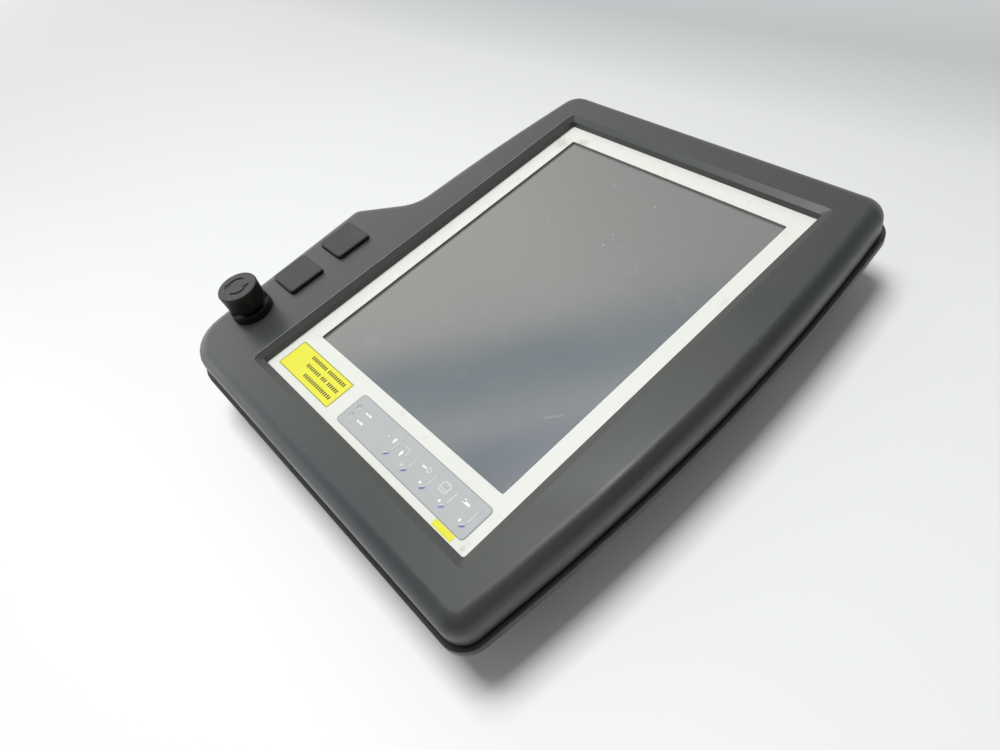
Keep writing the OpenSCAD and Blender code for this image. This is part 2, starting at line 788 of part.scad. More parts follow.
module stop_spring() {
    coil = [for (i = [0:spring_turns * SPRING_STEPS])
        let (a = 360 * i / SPRING_STEPS, z = spring_low + spring_pitch * i / SPRING_STEPS)
        [for (j = [0:SPRING_SIDES - 1])
            let (b = -360 * j / SPRING_SIDES, r = 5 + spring_wire * cos(b))
            [r * cos(a), r * sin(a), z + spring_wire * sin(b)]]];
    color("#b9bbbd") stop_part(0) skin(coil, false);
}

arrow_r = 6.45;
arrow_w = 1.7;
arrow_t = 0.5;

// A cutter for one of the two turning arrows sunk in the knob's top
module curved_arrow() {
    rotate_extrude(angle = 100)
        translate([arrow_r - arrow_w / 2, 0]) square([arrow_w, arrow_t + 1]);
    rotate(98) translate([arrow_r, 0]) linear_extrude(arrow_t + 1)
        polygon([[-1.4 * arrow_w, 0], [1.4 * arrow_w, 0], [0, 2.4 * arrow_w]]);
}

module stop_knob() {
    color("#55565a") stop_part(0) {
        difference() {
            rotate_extrude() polygon([
                [0, knob_low], [knob_low_r - 0.8, knob_low], [knob_low_r, knob_low + 0.9],
                [knob_r, knob_top - 0.9], [knob_r - 0.3, knob_top - 0.3], [knob_r - 0.9, knob_top],
                [0, knob_top]]);
            rod(knob_bore_r + fit, knob_low - 1, spigot_top - knob_low + 1.2);
            rod(plunger_r + 0.2, knob_low - 1, 2.2);
            for (a = [20, 200]) rotate(a) translate([0, 0, knob_top - arrow_t]) curved_arrow();
        }
    }
}

// ---- Push buttons ----

cap_stop = 0.3;

module button_cap(k) {
    color("#3a3b3b") placed() translate([cap_x[k], row_y]) {
        slab(cap_size - 0.8, cap_size - 0.8, 2.2, face_z + cap_h - 0.4, 0.4);
        slab(cap_size, cap_size, 2.5, ceiling_z - cap_stop - 0.2, cap_h + wall + cap_stop - 0.2);
        slab(cap_size + 2 * cap_flange, cap_size + 2 * cap_flange, 2.5,
             ceiling_z - cap_stop - cap_flange_t, cap_flange_t);
        block(stem_w, stem_w, switch_z + cap_travel + 0.3,
              ceiling_z - cap_stop - cap_flange_t - switch_z - cap_travel - 0.3);
    }
}

module button_cap_left() { button_cap(0); }
module button_cap_right() { button_cap(1); }

module button_switches() {
    color("#1d1e20") placed() for (x = cap_x) translate([x, row_y])
        block(12, 12, switch_z - switch_h, switch_h);
}

module button_board() {
    color("#24634a") placed() difference() {
        translate([control_x, row_y]) block(control_w, control_h, control_z, board_t);
        for (p = POSTS) translate(p) rod(tab_hole_r + 0.3, control_z - 1, board_t + 2);
    }
}

module button_board_screws() {
    color("#8b8c8e") placed() for (p = POSTS) translate(p) {
        rod(tab_hole_r, control_z - 0.5, 7);
        rod(2.4, control_z - 1.8, 1.8);
    }
}

// ---- Enabling paddle ----

module enabling_paddle() {
    color("#6a6c6e") placed() {
        along_x(paddle_in - 2, 0, paddle_z)
            linear_extrude(paddle_in - 2 - paddle_out - 1) rounded(paddle_h, paddle_l, 4.5);
        along_x(paddle_out + 1, 0, paddle_z) linear_extrude(1) rounded(paddle_h - 1.6, paddle_l - 1.6, 3.7);
        along_x(paddle_in, 0, paddle_z) linear_extrude(2) rounded(paddle_h, paddle_l + 6, 4.5);
        along_x(paddle_in + 4, 0, paddle_z) linear_extrude(4) square([8, 14], center = true);
    }
}

enabler_w = 20;
enabler_l = paddle_l * 0.42;
enabler_h = 19;

module enabling_switch() {
    color("#23262b") placed() {
        translate([paddle_in + 4 + paddle_travel + 0.4, -enabler_l / 2, floor_z])
            cube([enabler_w, enabler_l, enabler_h]);
    }
}

// ---- Cable inlet ----

inlet_out = inlet_face_y - inlet_flange_t;

module cable_inlet() {
    color("#b4b7ba") placed() difference() {
        union() {
            along_y(inlet_x, inlet_face_y, inlet_z) linear_extrude(inlet_flange_t)
                rounded(inlet_flange, inlet_flange, 3);
            along_y(inlet_x, inlet_out, inlet_z)
                cylinder(r = inlet_r + inlet_wall, h = inlet_l - inlet_flange_t);
            along_y(inlet_x, inlet_face_y + 8, inlet_z) cylinder(r = inlet_hole_r - 0.3, h = 8);
        }
        along_y(inlet_x, inlet_face_y, inlet_z) cylinder(r = inlet_r, h = inlet_l + 1);
        along_y(inlet_x, inlet_face_y + 9, inlet_z) cylinder(r = inlet_r - 1.6, h = 12);
        at_inlet_screws(inlet_face_y + 1) cylinder(r = inlet_screw_r + 0.2, h = inlet_flange_t + 2);
    }
}

inlet_screw_at = inlet_flange / 2 - 3;
inlet_screw_r = 1.2;

module at_inlet_screws(y) {
    for (s = CORNER_SIGNS)
        along_y(inlet_x + s.x * inlet_screw_at, y, inlet_z + s.y * inlet_screw_at) children();
}

module inlet_insert() {
    color("#2d2e30") placed() along_y(inlet_x, inlet_face_y + 7, inlet_z)
        cylinder(r = inlet_r - 1.6 - fit, h = 7 + 0.8);
}

module inlet_pins() {
    color("#d2b15a") placed() {
        along_y(inlet_x, inlet_face_y - 0.8, inlet_z) cylinder(r = 0.5, h = 4.5);
        for (i = [0:9]) rotate_about_inlet(36 * i, 4.8) cylinder(r = 0.5, h = 4.5);
    }
}

module rotate_about_inlet(a, r) {
    along_y(inlet_x + r * cos(a), inlet_face_y - 0.8, inlet_z + r * sin(a)) children();
}

module inlet_screws() {
    color("#8b8c8e") placed() {
        at_inlet_screws(inlet_face_y + 5) cylinder(r = inlet_screw_r, h = 5 + inlet_flange_t + 0.3);
        at_inlet_screws(inlet_out) difference() {
            cylinder(r = 2, h = 1.2);
            translate([0, 0, 0.5]) cylinder(r = 0.8, h = 1, $fn = 6);
        }
    }
}

module inlet_harness() {
    color("#26282c") placed() along_y(inlet_x, interface_at.y - 16.5, inlet_z)
        cylinder(r = 3.2, h = interface_at.y - 16.5 - inlet_face_y - 7);
}

front_shell();
rear_shell();
housing_seal();
front_plate();
screen_gasket();
touch_panel();
lcd_module();
display_frame();
display_screws();
main_board();
board_standoffs();
heat_sink();
board_connectors();
buffer_battery();
interface_board();
interface_posts();
display_cable();
inlet_harness();
key_foil();
key_circuit();
key_domes();
key_1();
key_2();
key_3();
key_4();
key_5();
stop_collar();
stop_gasket();
stop_nut();
stop_contact_block();
stop_spring();
stop_plunger();
stop_knob();
button_cap_left();
button_cap_right();
button_switches();
button_board();
button_board_screws();
enabling_paddle();
enabling_switch();
cable_inlet();
inlet_insert();
inlet_pins();
inlet_screws();
service_cover();
cover_screws();
housing_screws();
rubber_feet();
yellow_label();
strip_sticker();
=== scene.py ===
"""Dresses the teach pendant's solids with surfaces, prints and marks, in a plain studio."""

import json
import math

import bmesh
import bpy
from mathutils import Matrix, Vector


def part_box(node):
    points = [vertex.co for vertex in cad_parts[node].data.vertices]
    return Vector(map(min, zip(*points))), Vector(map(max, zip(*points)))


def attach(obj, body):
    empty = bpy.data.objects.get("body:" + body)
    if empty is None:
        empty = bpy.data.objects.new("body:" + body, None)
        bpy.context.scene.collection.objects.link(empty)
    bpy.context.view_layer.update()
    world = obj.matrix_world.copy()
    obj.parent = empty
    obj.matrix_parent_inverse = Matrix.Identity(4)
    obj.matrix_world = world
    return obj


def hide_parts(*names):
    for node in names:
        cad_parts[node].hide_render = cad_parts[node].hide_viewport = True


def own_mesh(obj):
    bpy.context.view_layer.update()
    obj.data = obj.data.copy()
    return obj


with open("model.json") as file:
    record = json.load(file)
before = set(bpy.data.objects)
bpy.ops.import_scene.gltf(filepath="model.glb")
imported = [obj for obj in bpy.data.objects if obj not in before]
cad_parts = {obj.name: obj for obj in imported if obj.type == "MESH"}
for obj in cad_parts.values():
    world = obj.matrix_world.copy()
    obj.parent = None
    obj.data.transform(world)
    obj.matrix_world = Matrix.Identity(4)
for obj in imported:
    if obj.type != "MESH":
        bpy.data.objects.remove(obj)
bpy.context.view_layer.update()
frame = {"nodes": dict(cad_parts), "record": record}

bl_info = {
    "name": "Teach pendant",
    "version": (1, 0, 0),
    "blender": (4, 5, 0),
    "location": "View3D > Sidebar > Pendant",
    "description": "Surfaces, prints and studio of a handheld teach pendant",
    "category": "Object",
}

MM = 0.001
# An edge or face this near to a level belongs to it
NEAR = 0.1 * MM
NODES = frame["nodes"]
BODY_OF = {n: body for body, nodes in frame["record"]["behaviour"]["bodies"].items() for n in nodes}
SLOT_OF = {part["node"]: part["material_slot"] for part in frame["record"]["subparts"]}
KEYS = [f"key_{k}" for k in range(1, 6)]
# Traces of old adhesive at two corners of the plate: x, y and reach in millimetres, and strength
STAINS = ((111.5, 69.5, 7, 0.9), (118, 58, 5, 1.3), (-126.5, -103, 2.2, 0.9))
# The floor's tones from -400 to 1600 mm across: painted shade, which greys the floor beyond the
# pendant's other side, with a darker band
FLOOR_TONES = (
    (0, "#F8F8F8"), (0.08, "#FAFAFA"), (0.112, "#F4F4F4"), (0.16, "#EEF0F0"), (0.2, "#EBEDED"),
    (0.272, "#E5E7E7"), (0.332, "#DBDDDD"), (0.356, "#CCCECF"), (0.388, "#BCBFC0"),
    (0.46, "#CCCECF"), (0.58, "#F0F1F1"))
# The wall that gloss mirrors, from its foot up: a pale lower half, a dim bluish gap, a bright
# band, a blue gap, and a dark top
WALL_TONES = (
    (0.2, (0.86, 0.85, 0.79)), (0.475, (0.96, 0.96, 0.88)), (0.512, (0.1, 0.25, 0.36)),
    (0.56, (0.22, 0.37, 0.5)), (0.605, (0.36, 0.49, 0.55)), (0.632, (1.15, 1.15, 1.05)),
    (0.648, (1.2, 1.2, 1.1)), (0.668, (0, 0.18, 0.46)), (0.71, (0, 0.16, 0.42)),
    (0.75, (0.4, 0.46, 0.48)), (0.9, (0.06, 0.07, 0.08)))


def linear(code):
    """An sRGB hex colour as linear red, green and blue."""
    parts = [int(code[i:i + 2], 16) / 255 for i in (1, 3, 5)]
    return tuple(c / 12.92 if c <= 0.04045 else ((c + 0.055) / 1.055) ** 2.4 for c in parts)


def colour(name, description, code):
    """A colour setting."""
    return bpy.props.FloatVectorProperty(
        name=name, description=description, default=linear(code), size=3, min=0, max=1,
        subtype="COLOR")


def length(name, description, value):
    """A length setting in metres, given in millimetres."""
    return bpy.props.FloatProperty(
        name=name, description=description, default=value * MM, min=0, subtype="DISTANCE",
        unit="LENGTH")


class PendantColours(bpy.types.PropertyGroup):
    """Colours of the pendant's finishes."""

    frame: colour("Frame", "Dark grey moulded frame", "#363736")
    tray: colour("Tray", "Rear tray and its rim", "#2B2C2C")
    rubber: colour("Rubber", "Seal in the groove, gasket and feet", "#0D0D0E")
    plate: colour("Plate", "Painted front plate", "#E0E2DB")
    glass: colour("Glass", "Touch glass over the dark display", "#6A6B6B")
    foil: colour("Foil", "Printed key foil", "#B3B5B5")
    film: colour("Film", "Yellow adhesive film", "#E4E148")
    knob: colour("Knob", "Sides of the stop knob and its collar", "#0C0C0D")
    # The tops are painted lighter than the black sides: a painted sheen where the light falls on
    # them
    painted_sheen_top: colour("Top with painted sheen", "Tops of the stop knob and the push buttons", "#323331")
    # Paler flecks of wear on the frame; on the crease at the foot of the raised corner this colour
    # is also a painted highlight
    rubbed: colour("Rubbed edge and highlight", "Frame where the grain is rubbed off", "#7E807D")
    cap: colour("Cap sides", "Sides of the push buttons", "#1E1F1F")
    # Prints, and also the painted highlight arcs round the lamp windows
    white_ink_and_highlight: colour("White ink and highlight", "Prints on the key foil", "#F4F5F5")
    blue_ink: colour("Blue ink", "Dots on the keys", "#6F7BB4")
    # Faint prints, and also the painted reflection above each blue dot and the painted highlight
    # along each pad
    pale_ink_and_highlight: colour("Pale ink and highlight", "Faint lines on the keys", "#D0D2D2")
    # Painted shade: the dark line at the key foil's edge and the dark arcs round the lamp windows
    grey_painted_shade: colour("Grey painted shade", "Line round the key foil", "#8B8D8C")
    olive_ink: colour("Olive ink", "Line round the yellow label", "#A3A35A")
    dark_ink: colour("Dark ink", "Bars on the yellow label", "#37371C")
    paddle: colour("Paddle", "Enabling paddle", "#5F6264")
    stain: colour("Stain", "Old adhesive and handling dirt on the plate", "#A8A48C")
    smudge: colour("Smudge", "Finger smudges on the touch glass", "#A5A9A8")
    faint_mark: colour("Faint mark", "Faint dried marks on the touch glass", "#8C8E8C")
    clear_mark: colour("Clear mark", "Clear dried marks on the touch glass", "#A9ABA8")


class PendantSizes(bpy.types.PropertyGroup):
    """Sizes of edges, gaps and the studio's floor."""

    frame_edge: length("Frame edge", "Rounding of the frame's crease and openings", 0.5)
    seam_edge: length("Seam edge", "Rounding of the edges beside the groove", 0.35)
    plate_edge: length("Plate edge", "Rounding of the plate at the screen", 0.15)
    cap_edge: length("Cap edge", "Rounding of the push buttons", 0.55)
    knob_edge: length("Knob edge", "Rounding of the stop knob and its arrows", 0.12)
    collar_edge: length("Collar edge", "Rounding of the stop button's collar and plunger", 0.2)
    film_edge: length("Film edge", "Rounding of the yellow films", 0.05)
    paddle_edge: length("Paddle edge", "Rounding of the enabling paddle", 0.8)
    cover_edge: length("Cover edge", "Rounding of the service cover and the feet", 0.3)
    inlet_edge: length("Inlet edge", "Rounding of the cable inlet", 0.25)
    insert_edge: length("Insert edge", "Rounding of inlet's insert and housing screws", 0.15)
    screw_edge: length("Screw edge", "Rounding of the small screws on the outside", 0.1)
    key_gap: length("Key gap", "Gap round a key in the foil", 0.02)
    key_room: length("Key room", "How much wider the foil's opening is than a key", 0.3)
    key_corner: length("Key corner", "Radius of a key's corners", 1.6)
    bow: length("Bow", "How far the long sides fall back at the corners", 10.2)
    shoulder: length("Shoulder", "Radius of the frame's outer shoulder", 9)
    floor_size: length("Floor", "Side of the studio floor", 6000)


class PendantStudio(bpy.types.PropertyGroup):
    """Camera and light."""

    camera_at: bpy.props.FloatVectorProperty(
        name="Camera", description="Place of the camera", default=(-0.1587, -0.2652, 0.3341),
        size=3, subtype="TRANSLATION", unit="LENGTH")
    camera_right: bpy.props.FloatVectorProperty(
        name="Camera right", description="Direction to the view's right",
        default=(0.72044, -0.65254, -0.23486), size=3, subtype="DIRECTION")
    camera_up: bpy.props.FloatVectorProperty(
        name="Camera up", description="Direction to the view's top",
        default=(0.62993, 0.47407, 0.61518), size=3, subtype="DIRECTION")
    lens: bpy.props.FloatProperty(
        name="Lens", description="Focal length for a 36 mm sensor, in millimetres",
        default=26.12, min=1)
    key_light_at: bpy.props.FloatVectorProperty(
        name="Key light's place", description="Place of the soft light overhead",
        default=(0, 0.2, 1.85), size=3, subtype="TRANSLATION", unit="LENGTH")
    key_light_size: bpy.props.FloatProperty(
        name="Key light's size", description="Side of the soft light overhead", default=0.75,
        min=0, subtype="DISTANCE", unit="LENGTH")
    key_light: bpy.props.FloatProperty(
        name="Key light", description="Power of the soft light overhead", default=32, min=0,
        subtype="POWER", unit="POWER")
    room_light: bpy.props.FloatProperty(
        name="Room light", description="Strength of the light from the pale side of the room",
        default=0.34, min=0)
    mirrored_light: bpy.props.FloatProperty(
        name="Mirrored light", description="Strength of the wall that glossy surfaces mirror",
        default=1.75, min=0)


# ---- Node and mesh helpers ----


def feed(tree, node, inputs):
    """Sets a node's inputs to values, or links them to sockets or to other nodes."""
    for key, value in inputs.items():
        if isinstance(value, bpy.types.Node):
            value = next(socket for socket in value.outputs if socket.enabled)
        if isinstance(value, bpy.types.NodeSocket):
            tree.links.new(value, node.inputs[key])
        else:
            node.inputs[key].default_value = value


def add(tree, kind, inputs=None, stops=(), **settings):
    """Adds a node with its settings and links. Stops are a colour ramp's places and colours."""
    node = tree.nodes.new("ShaderNode" + kind)
    for key, value in settings.items():
        setattr(node, key, value)
    for k, (position, shade) in enumerate(stops):
        points = node.color_ramp.elements
        point = points[k] if k < len(points) else points.new(position)
        point.position, point.color = position, (*shade, 1)
    feed(tree, node, inputs or {})
    return node


def tint(shade, factor):
    """A colour made lighter or darker."""
    return tuple(min(1, c * factor) for c in shade)


def new_material(name, roughness, **sockets):
    """A material, its nodes, its Principled shader and its Object coordinates in millimetres."""
    material = bpy.data.materials.new(name)
    material.use_nodes = True
    tree = material.node_tree
    shader = tree.nodes["Principled BSDF"]
    feed(tree, shader, {
        "Roughness": roughness, **{key.replace("_", " "): sockets[key] for key in sockets}})
    place = add(tree, "VectorMath", {
        0: add(tree, "TexCoord").outputs["Object"], "Scale": 1 / MM}, operation="SCALE")
    return material, tree, shader, place


def surface(name, shade, roughness, grain, contrast, relief, spread=0.06, cloud=25, **sockets):
    """A finish whose colour, roughness and relief follow a grain and a soft cloudiness.

    The grain's and the cloudiness's width and the relief's height are in millimetres. Contrast is
    the share by which the colour goes up and down, and spread is how far the roughness does.
    """
    material, tree, shader, place = new_material(name, roughness, **sockets)
    fine = add(tree, "TexNoise", {"Vector": place, "Scale": 1 / grain, "Detail": 3})
    broad = add(tree, "TexNoise", {"Vector": place, "Scale": 1 / cloud, "Detail": 2})
    tone = add(
        tree, "ValToRGB", {"Fac": add(tree, "Mix", {0: 0.4, 2: fine, 3: broad})},
        [(0.3, tint(shade, 1 - contrast)), (0.7, tint(shade, 1 + contrast))])
    rough = add(tree, "MapRange", {
        "Value": broad, "From Min": 0.3, "From Max": 0.7,
        "To Min": roughness - spread, "To Max": roughness + spread})
    bump = add(tree, "Bump", {"Height": fine, "Strength": 1, "Distance": relief * MM})
    feed(tree, shader, {"Base Color": tone, "Roughness": rough, "Normal": bump})
    return material, tree, shader, place, tone


def merged(node):
    """A CAD node's loose triangles as one closed mesh with plain faces."""
    mesh = bmesh.new()
    mesh.from_mesh(NODES[node].data)
    bmesh.ops.remove_doubles(mesh, verts=mesh.verts, dist=0.002 * MM)
    bmesh.ops.dissolve_degenerate(mesh, edges=mesh.edges, dist=0.001 * MM)
    bmesh.ops.dissolve_limit(
        mesh, angle_limit=math.radians(0.2), verts=mesh.verts, edges=mesh.edges)
    return mesh


def relay_floor(mesh):
    """Lays the largest flat floor anew between its edges, where its triangles overlap."""
    level = max(
        (f for f in mesh.faces if f.normal.z > 0.99), key=lambda f: f.calc_area()).verts[0].co.z
    flat = [f for f in mesh.faces if all(abs(v.co.z - level) < 0.002 * MM for v in f.verts)]
    bmesh.ops.delete(mesh, geom=flat, context="FACES")
    rim = [e for e in mesh.edges if e.is_boundary]
    bmesh.ops.triangle_fill(mesh, edges=rim, use_beauty=True, normal=(0, 0, 1))


def middle_z(edge):
    """The height of an edge's middle."""
    return (edge.verts[0].co.z + edge.verts[1].co.z) / 2


def above(level):
    """A test that an edge lies wholly above a level."""
    return lambda edge: min(v.co.z for v in edge.verts) > level


def soften(mesh, width, segments=2, crease=30, chosen=None):
    """Rounds the sharp edges that are chosen, or all of them."""
    edges = [
        e for e in mesh.edges
        if len(e.link_faces) == 2 and e.calc_face_angle(0) > math.radians(crease)
        and (chosen is None or chosen(e))]
    if not edges:
        return []
    return bmesh.ops.bevel(
        mesh, geom=edges, offset=width, offset_type="OFFSET", segments=segments, profile=0.5,
        affect="EDGES", clamp_overlap=True, loop_slide=True, material=-1)["faces"]


def piece(name, mesh, materials, node, stands_for=(), crease=32, weighted=True):
    """A finished piece that rides on its node's body and hides the nodes it stands for."""
    data = bpy.data.meshes.new(name)
    for face in mesh.faces:
        face.smooth = True
    mesh.to_mesh(data)
    mesh.free()
    data.set_sharp_from_angle(angle=math.radians(crease))
    for material in materials if isinstance(materials, (list, tuple)) else [materials]:
        data.materials.append(material)
    made = bpy.data.objects.new(name, data)
    bpy.context.scene.collection.objects.link(made)
    if weighted:
        made.modifiers.new("Normals", "WEIGHTED_NORMAL").keep_sharp = True
    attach(made, BODY_OF[node])
    if stands_for:
        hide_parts(*stands_for)
    return made


def dress(node, material, width=0.0, segments=2, crease=30, chosen=None):
    """A smooth copy of a CAD node, with its edges rounded, that stands for it."""
    mesh = merged(node)
    if width:
        soften(mesh, width, segments, crease, chosen)
    return piece(node + "_surface", mesh, material, node, [node])


def paint(material, *nodes):
    """Gives CAD nodes their material as they are."""
    for node in nodes:
        NODES[node].data.materials.clear()
        NODES[node].data.materials.append(material)


def closed(mesh):
    """Merges doubles and the joints between strokes, fills open ends and turns faces outwards."""
    bmesh.ops.remove_doubles(mesh, verts=mesh.verts, dist=0.001 * MM)
    inner = [f for f in mesh.faces if all(len(e.link_faces) > 2 for e in f.edges)]
    bmesh.ops.delete(mesh, geom=inner, context="FACES_ONLY")
    bmesh.ops.holes_fill(mesh, edges=[e for e in mesh.edges if e.is_boundary], sides=0)
    bmesh.ops.recalc_face_normals(mesh, faces=mesh.faces)
    return mesh


def at(x, y, z=0.0, turn=0.0):
    """A place in millimetres, turned about Z by degrees."""
    return Matrix.Translation(Vector((x, y, z)) * MM) @ Matrix.Rotation(math.radians(turn), 4, "Z")


def bar(mesh, place, x, y, w, h, turn=0.0, depth=0.03):
    """A flat bar, in millimetres from a place."""
    size = Matrix.Diagonal((w * MM, h * MM, depth * MM, 1))
    bmesh.ops.create_cube(mesh, size=1, matrix=place @ at(x, y, depth / 2, turn) @ size)


def dot(mesh, place, x, y, r, depth=0.03, steps=20, stretch=1.0, turn=0.0):
    """A flat dot, in millimetres from a place."""
    size = Matrix.Diagonal((stretch, 1, 1, 1))
    bmesh.ops.create_cone(
        mesh, cap_ends=True, segments=steps, radius1=r * MM, radius2=r * MM, depth=depth * MM,
        matrix=place @ at(x, y, depth / 2, turn) @ size)


def hoop(mesh, place, x, y, r, w, start=0.0, sweep=360.0, depth=0.03, steps=24):
    """A flat arc of a ring, in millimetres from a place."""
    base = place @ at(x, y, 0, start)
    corners = [(r - w / 2, 0), (r + w / 2, 0), (r + w / 2, depth), (r - w / 2, depth)]
    verts = [mesh.verts.new(base @ (Vector((a, 0, z)) * MM)) for a, z in corners]
    edges = [mesh.edges.new((verts[i], verts[(i + 1) % 4])) for i in range(4)]
    whole = sweep >= 360
    bmesh.ops.spin(
        mesh, geom=verts + edges, cent=base.to_translation(),
        axis=base.to_3x3() @ Vector((0, 0, 1)), angle=math.radians(sweep), steps=steps,
        use_merge=whole)


def outline(mesh, place, width, height, radius, line, depth=0.03):
    """A flat line along a rounded rectangle, in millimetres round a place."""
    for side in (-1, 1):
        bar(mesh, place, side * width / 2, 0, line, height - 2 * radius, depth=depth)
        bar(mesh, place, 0, side * height / 2, width - 2 * radius, line, depth=depth)
    for k, (sx, sy) in enumerate(((1, 1), (-1, 1), (-1, -1), (1, -1))):
        hoop(mesh, place, sx * (width / 2 - radius), sy * (height / 2 - radius), radius, line,
             start=90 * k, sweep=90, depth=depth, steps=6)


# ---- Finishes ----


def frame_finish():
    """ABS moulded in a grained tool: even, dark and half matt, and paler where it is rubbed."""
    colours, sizes = bpy.context.scene.pendant_colours, bpy.context.scene.pendant_sizes
    # The real grain is 0.2 mm. It is drawn at 0.6 mm, so that it shows.
    material, tree, shader, place, tone = surface(
        "abs_moulded_dark_grey", tuple(colours.frame), 0.38, 0.6, 0.10, 0.008, cloud=40, IOR=1.55)
    low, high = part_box("front_shell")
    half = (high.x - low.x) / 2 / MM
    axes = add(tree, "SeparateXYZ", {0: place}).outputs
    # A little paler towards the -X end, beside the keys
    towards_keys = add(tree, "MapRange", {
        "Value": axes["X"], "From Min": -half, "From Max": half * 0.7, "To Min": 1.2, "To Max": 1})
    tone = add(tree, "VectorMath", {0: tone, "Scale": towards_keys}, operation="SCALE")
    # Rubbed specks of 1.6 mm along the ridge of the lower side, which lies on tables and is held
    share = add(tree, "Math", {0: axes["X"], 1: half}, operation="DIVIDE")
    bend = add(tree, "Math", {0: share, 1: share}, operation="MULTIPLY")
    ridge = add(tree, "Math", {
        0: bend, 1: sizes.bow / MM, 2: (low.y + sizes.shoulder * 0.75) / MM},
        operation="MULTIPLY_ADD")
    beside = add(tree, "Math", {
        0: add(tree, "Math", {0: axes["Y"], 1: ridge}, operation="SUBTRACT")},
        operation="ABSOLUTE")
    near = add(tree, "MapRange", {
        "Value": beside, "From Min": 0.2, "From Max": 1.6, "To Min": 1, "To Max": 0})
    specks = add(tree, "MapRange", {
        "Value": add(tree, "TexNoise", {"Vector": place, "Scale": 1 / 1.6, "Detail": 6}),
        "From Min": 0.62, "From Max": 0.82})
    # Pale dust all over, in flecks of up to 2.2 mm
    dust = add(tree, "MapRange", {
        "Value": add(tree, "TexNoise", {"Vector": place, "Scale": 1 / 2.2, "Detail": 8}),
        "From Min": 0.68, "From Max": 0.805, "To Max": 0.5})
    pale = add(
        tree, "Math", {0: near, 1: specks, 2: dust}, operation="MULTIPLY_ADD", use_clamp=True)
    lighter = add(tree, "Math", {0: pale, 1: 0.55}, operation="MULTIPLY")
    feed(tree, shader, {"Base Color": add(
        tree, "Mix", {0: lighter, 6: tone, 7: (*colours.rubbed, 1)}, data_type="RGBA")})
    return material


def crease_wear_and_highlight_finish():
    """The same ABS along a crease where hands rub it: paler, and smoother than the grain. The paler
    tone is partly wear and partly a painted highlight on the crease.

    The flecks are drawn at their real 1.4 mm.
    """
    shade = tuple(bpy.context.scene.pendant_colours.rubbed)
    return surface("abs_crease_wear_and_highlight", shade, 0.36, 1.4, 0.3, 0.006, cloud=14)[0]


def slope_painted_shade_finish():
    """The same ABS on the slope below the raised corner, duller and with little gloss, so that it
    paints the slope's shade.

    The real grain is 0.2 mm. It is drawn at 0.6 mm, so that it shows.
    """
    shade = tint(tuple(bpy.context.scene.pendant_colours.frame), 1.4)
    return surface(
        "abs_slope_painted_shade", shade, 0.7, 0.6, 0.15, 0.01, cloud=14, Specular_IOR_Level=0.15)[0]


def plate_finish():
    """Satin powder paint, sprayed and baked on sheet aluminium: near white, with a trace of dirt.

    The orange peel of the paint is drawn at its real 0.9 mm.
    """
    colours = bpy.context.scene.pendant_colours
    shade = tuple(colours.plate)
    material, tree, shader, place, tone = surface(
        "painted_sheet_aluminium", shade, 0.42, 0.9, 0.015, 0.004, cloud=18, IOR=1.5)
    # Dirt from hands lies in patches of 9 mm
    stain = add(tree, "MapRange", {
        "Value": add(tree, "TexNoise", {"Vector": place, "Scale": 1 / 9, "Detail": 6}),
        "From Min": 0.62, "From Max": 0.87, "To Max": 0.35})
    # The stains fade out from their middle, and a noise of 3 mm makes their edges ragged
    ragged = add(tree, "TexNoise", {"Vector": place, "Scale": 1 / 3, "Detail": 6})
    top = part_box("front_plate")[1].z / MM
    for x, y, reach, strength in STAINS:
        gone = add(tree, "VectorMath", {0: place, 1: (x, y, top)}, operation="DISTANCE")
        patch = add(tree, "MapRange", {
            "Value": gone, "From Min": 0, "From Max": reach, "To Min": strength, "To Max": 0})
        stain = add(tree, "Math", {
            0: patch, 1: ragged, 2: stain}, operation="MULTIPLY_ADD", use_clamp=True)
    feed(tree, shader, {"Base Color": add(
        tree, "Mix", {0: stain, 6: tone, 7: (*colours.stain, 1)}, data_type="RGBA")})
    return material


def glass_finish():
    """Float glass with an etched satin film over a dark display: grey, and a soft mirror.

    The etched grain is 0.02 mm. It is drawn at 0.5 mm, so that it shows. The film is coated, so
    it mirrors more than plain glass does.
    """
    colours = bpy.context.scene.pendant_colours
    shade = tuple(colours.glass)
    material, tree, shader, place, tone = surface(
        "touch_glass_satin", shade, 0.13, 0.5, 0.012, 0.0004, spread=0.02, cloud=60, IOR=1.6,
        Specular_IOR_Level=1.0)
    # Fingers leave smudges 14 mm wide
    cells = add(
        tree, "TexNoise", {"Vector": place, "Scale": 1 / 14, "Detail": 5, "Distortion": 1.2})
    smudge = add(tree, "MapRange", {
        "Value": cells, "From Min": 0.6, "From Max": 0.93, "To Max": 0.12})
    feed(tree, shader, {"Base Color": add(
        tree, "Mix", {0: smudge, 6: tone, 7: (*colours.smudge, 1)}, data_type="RGBA")})
    return material


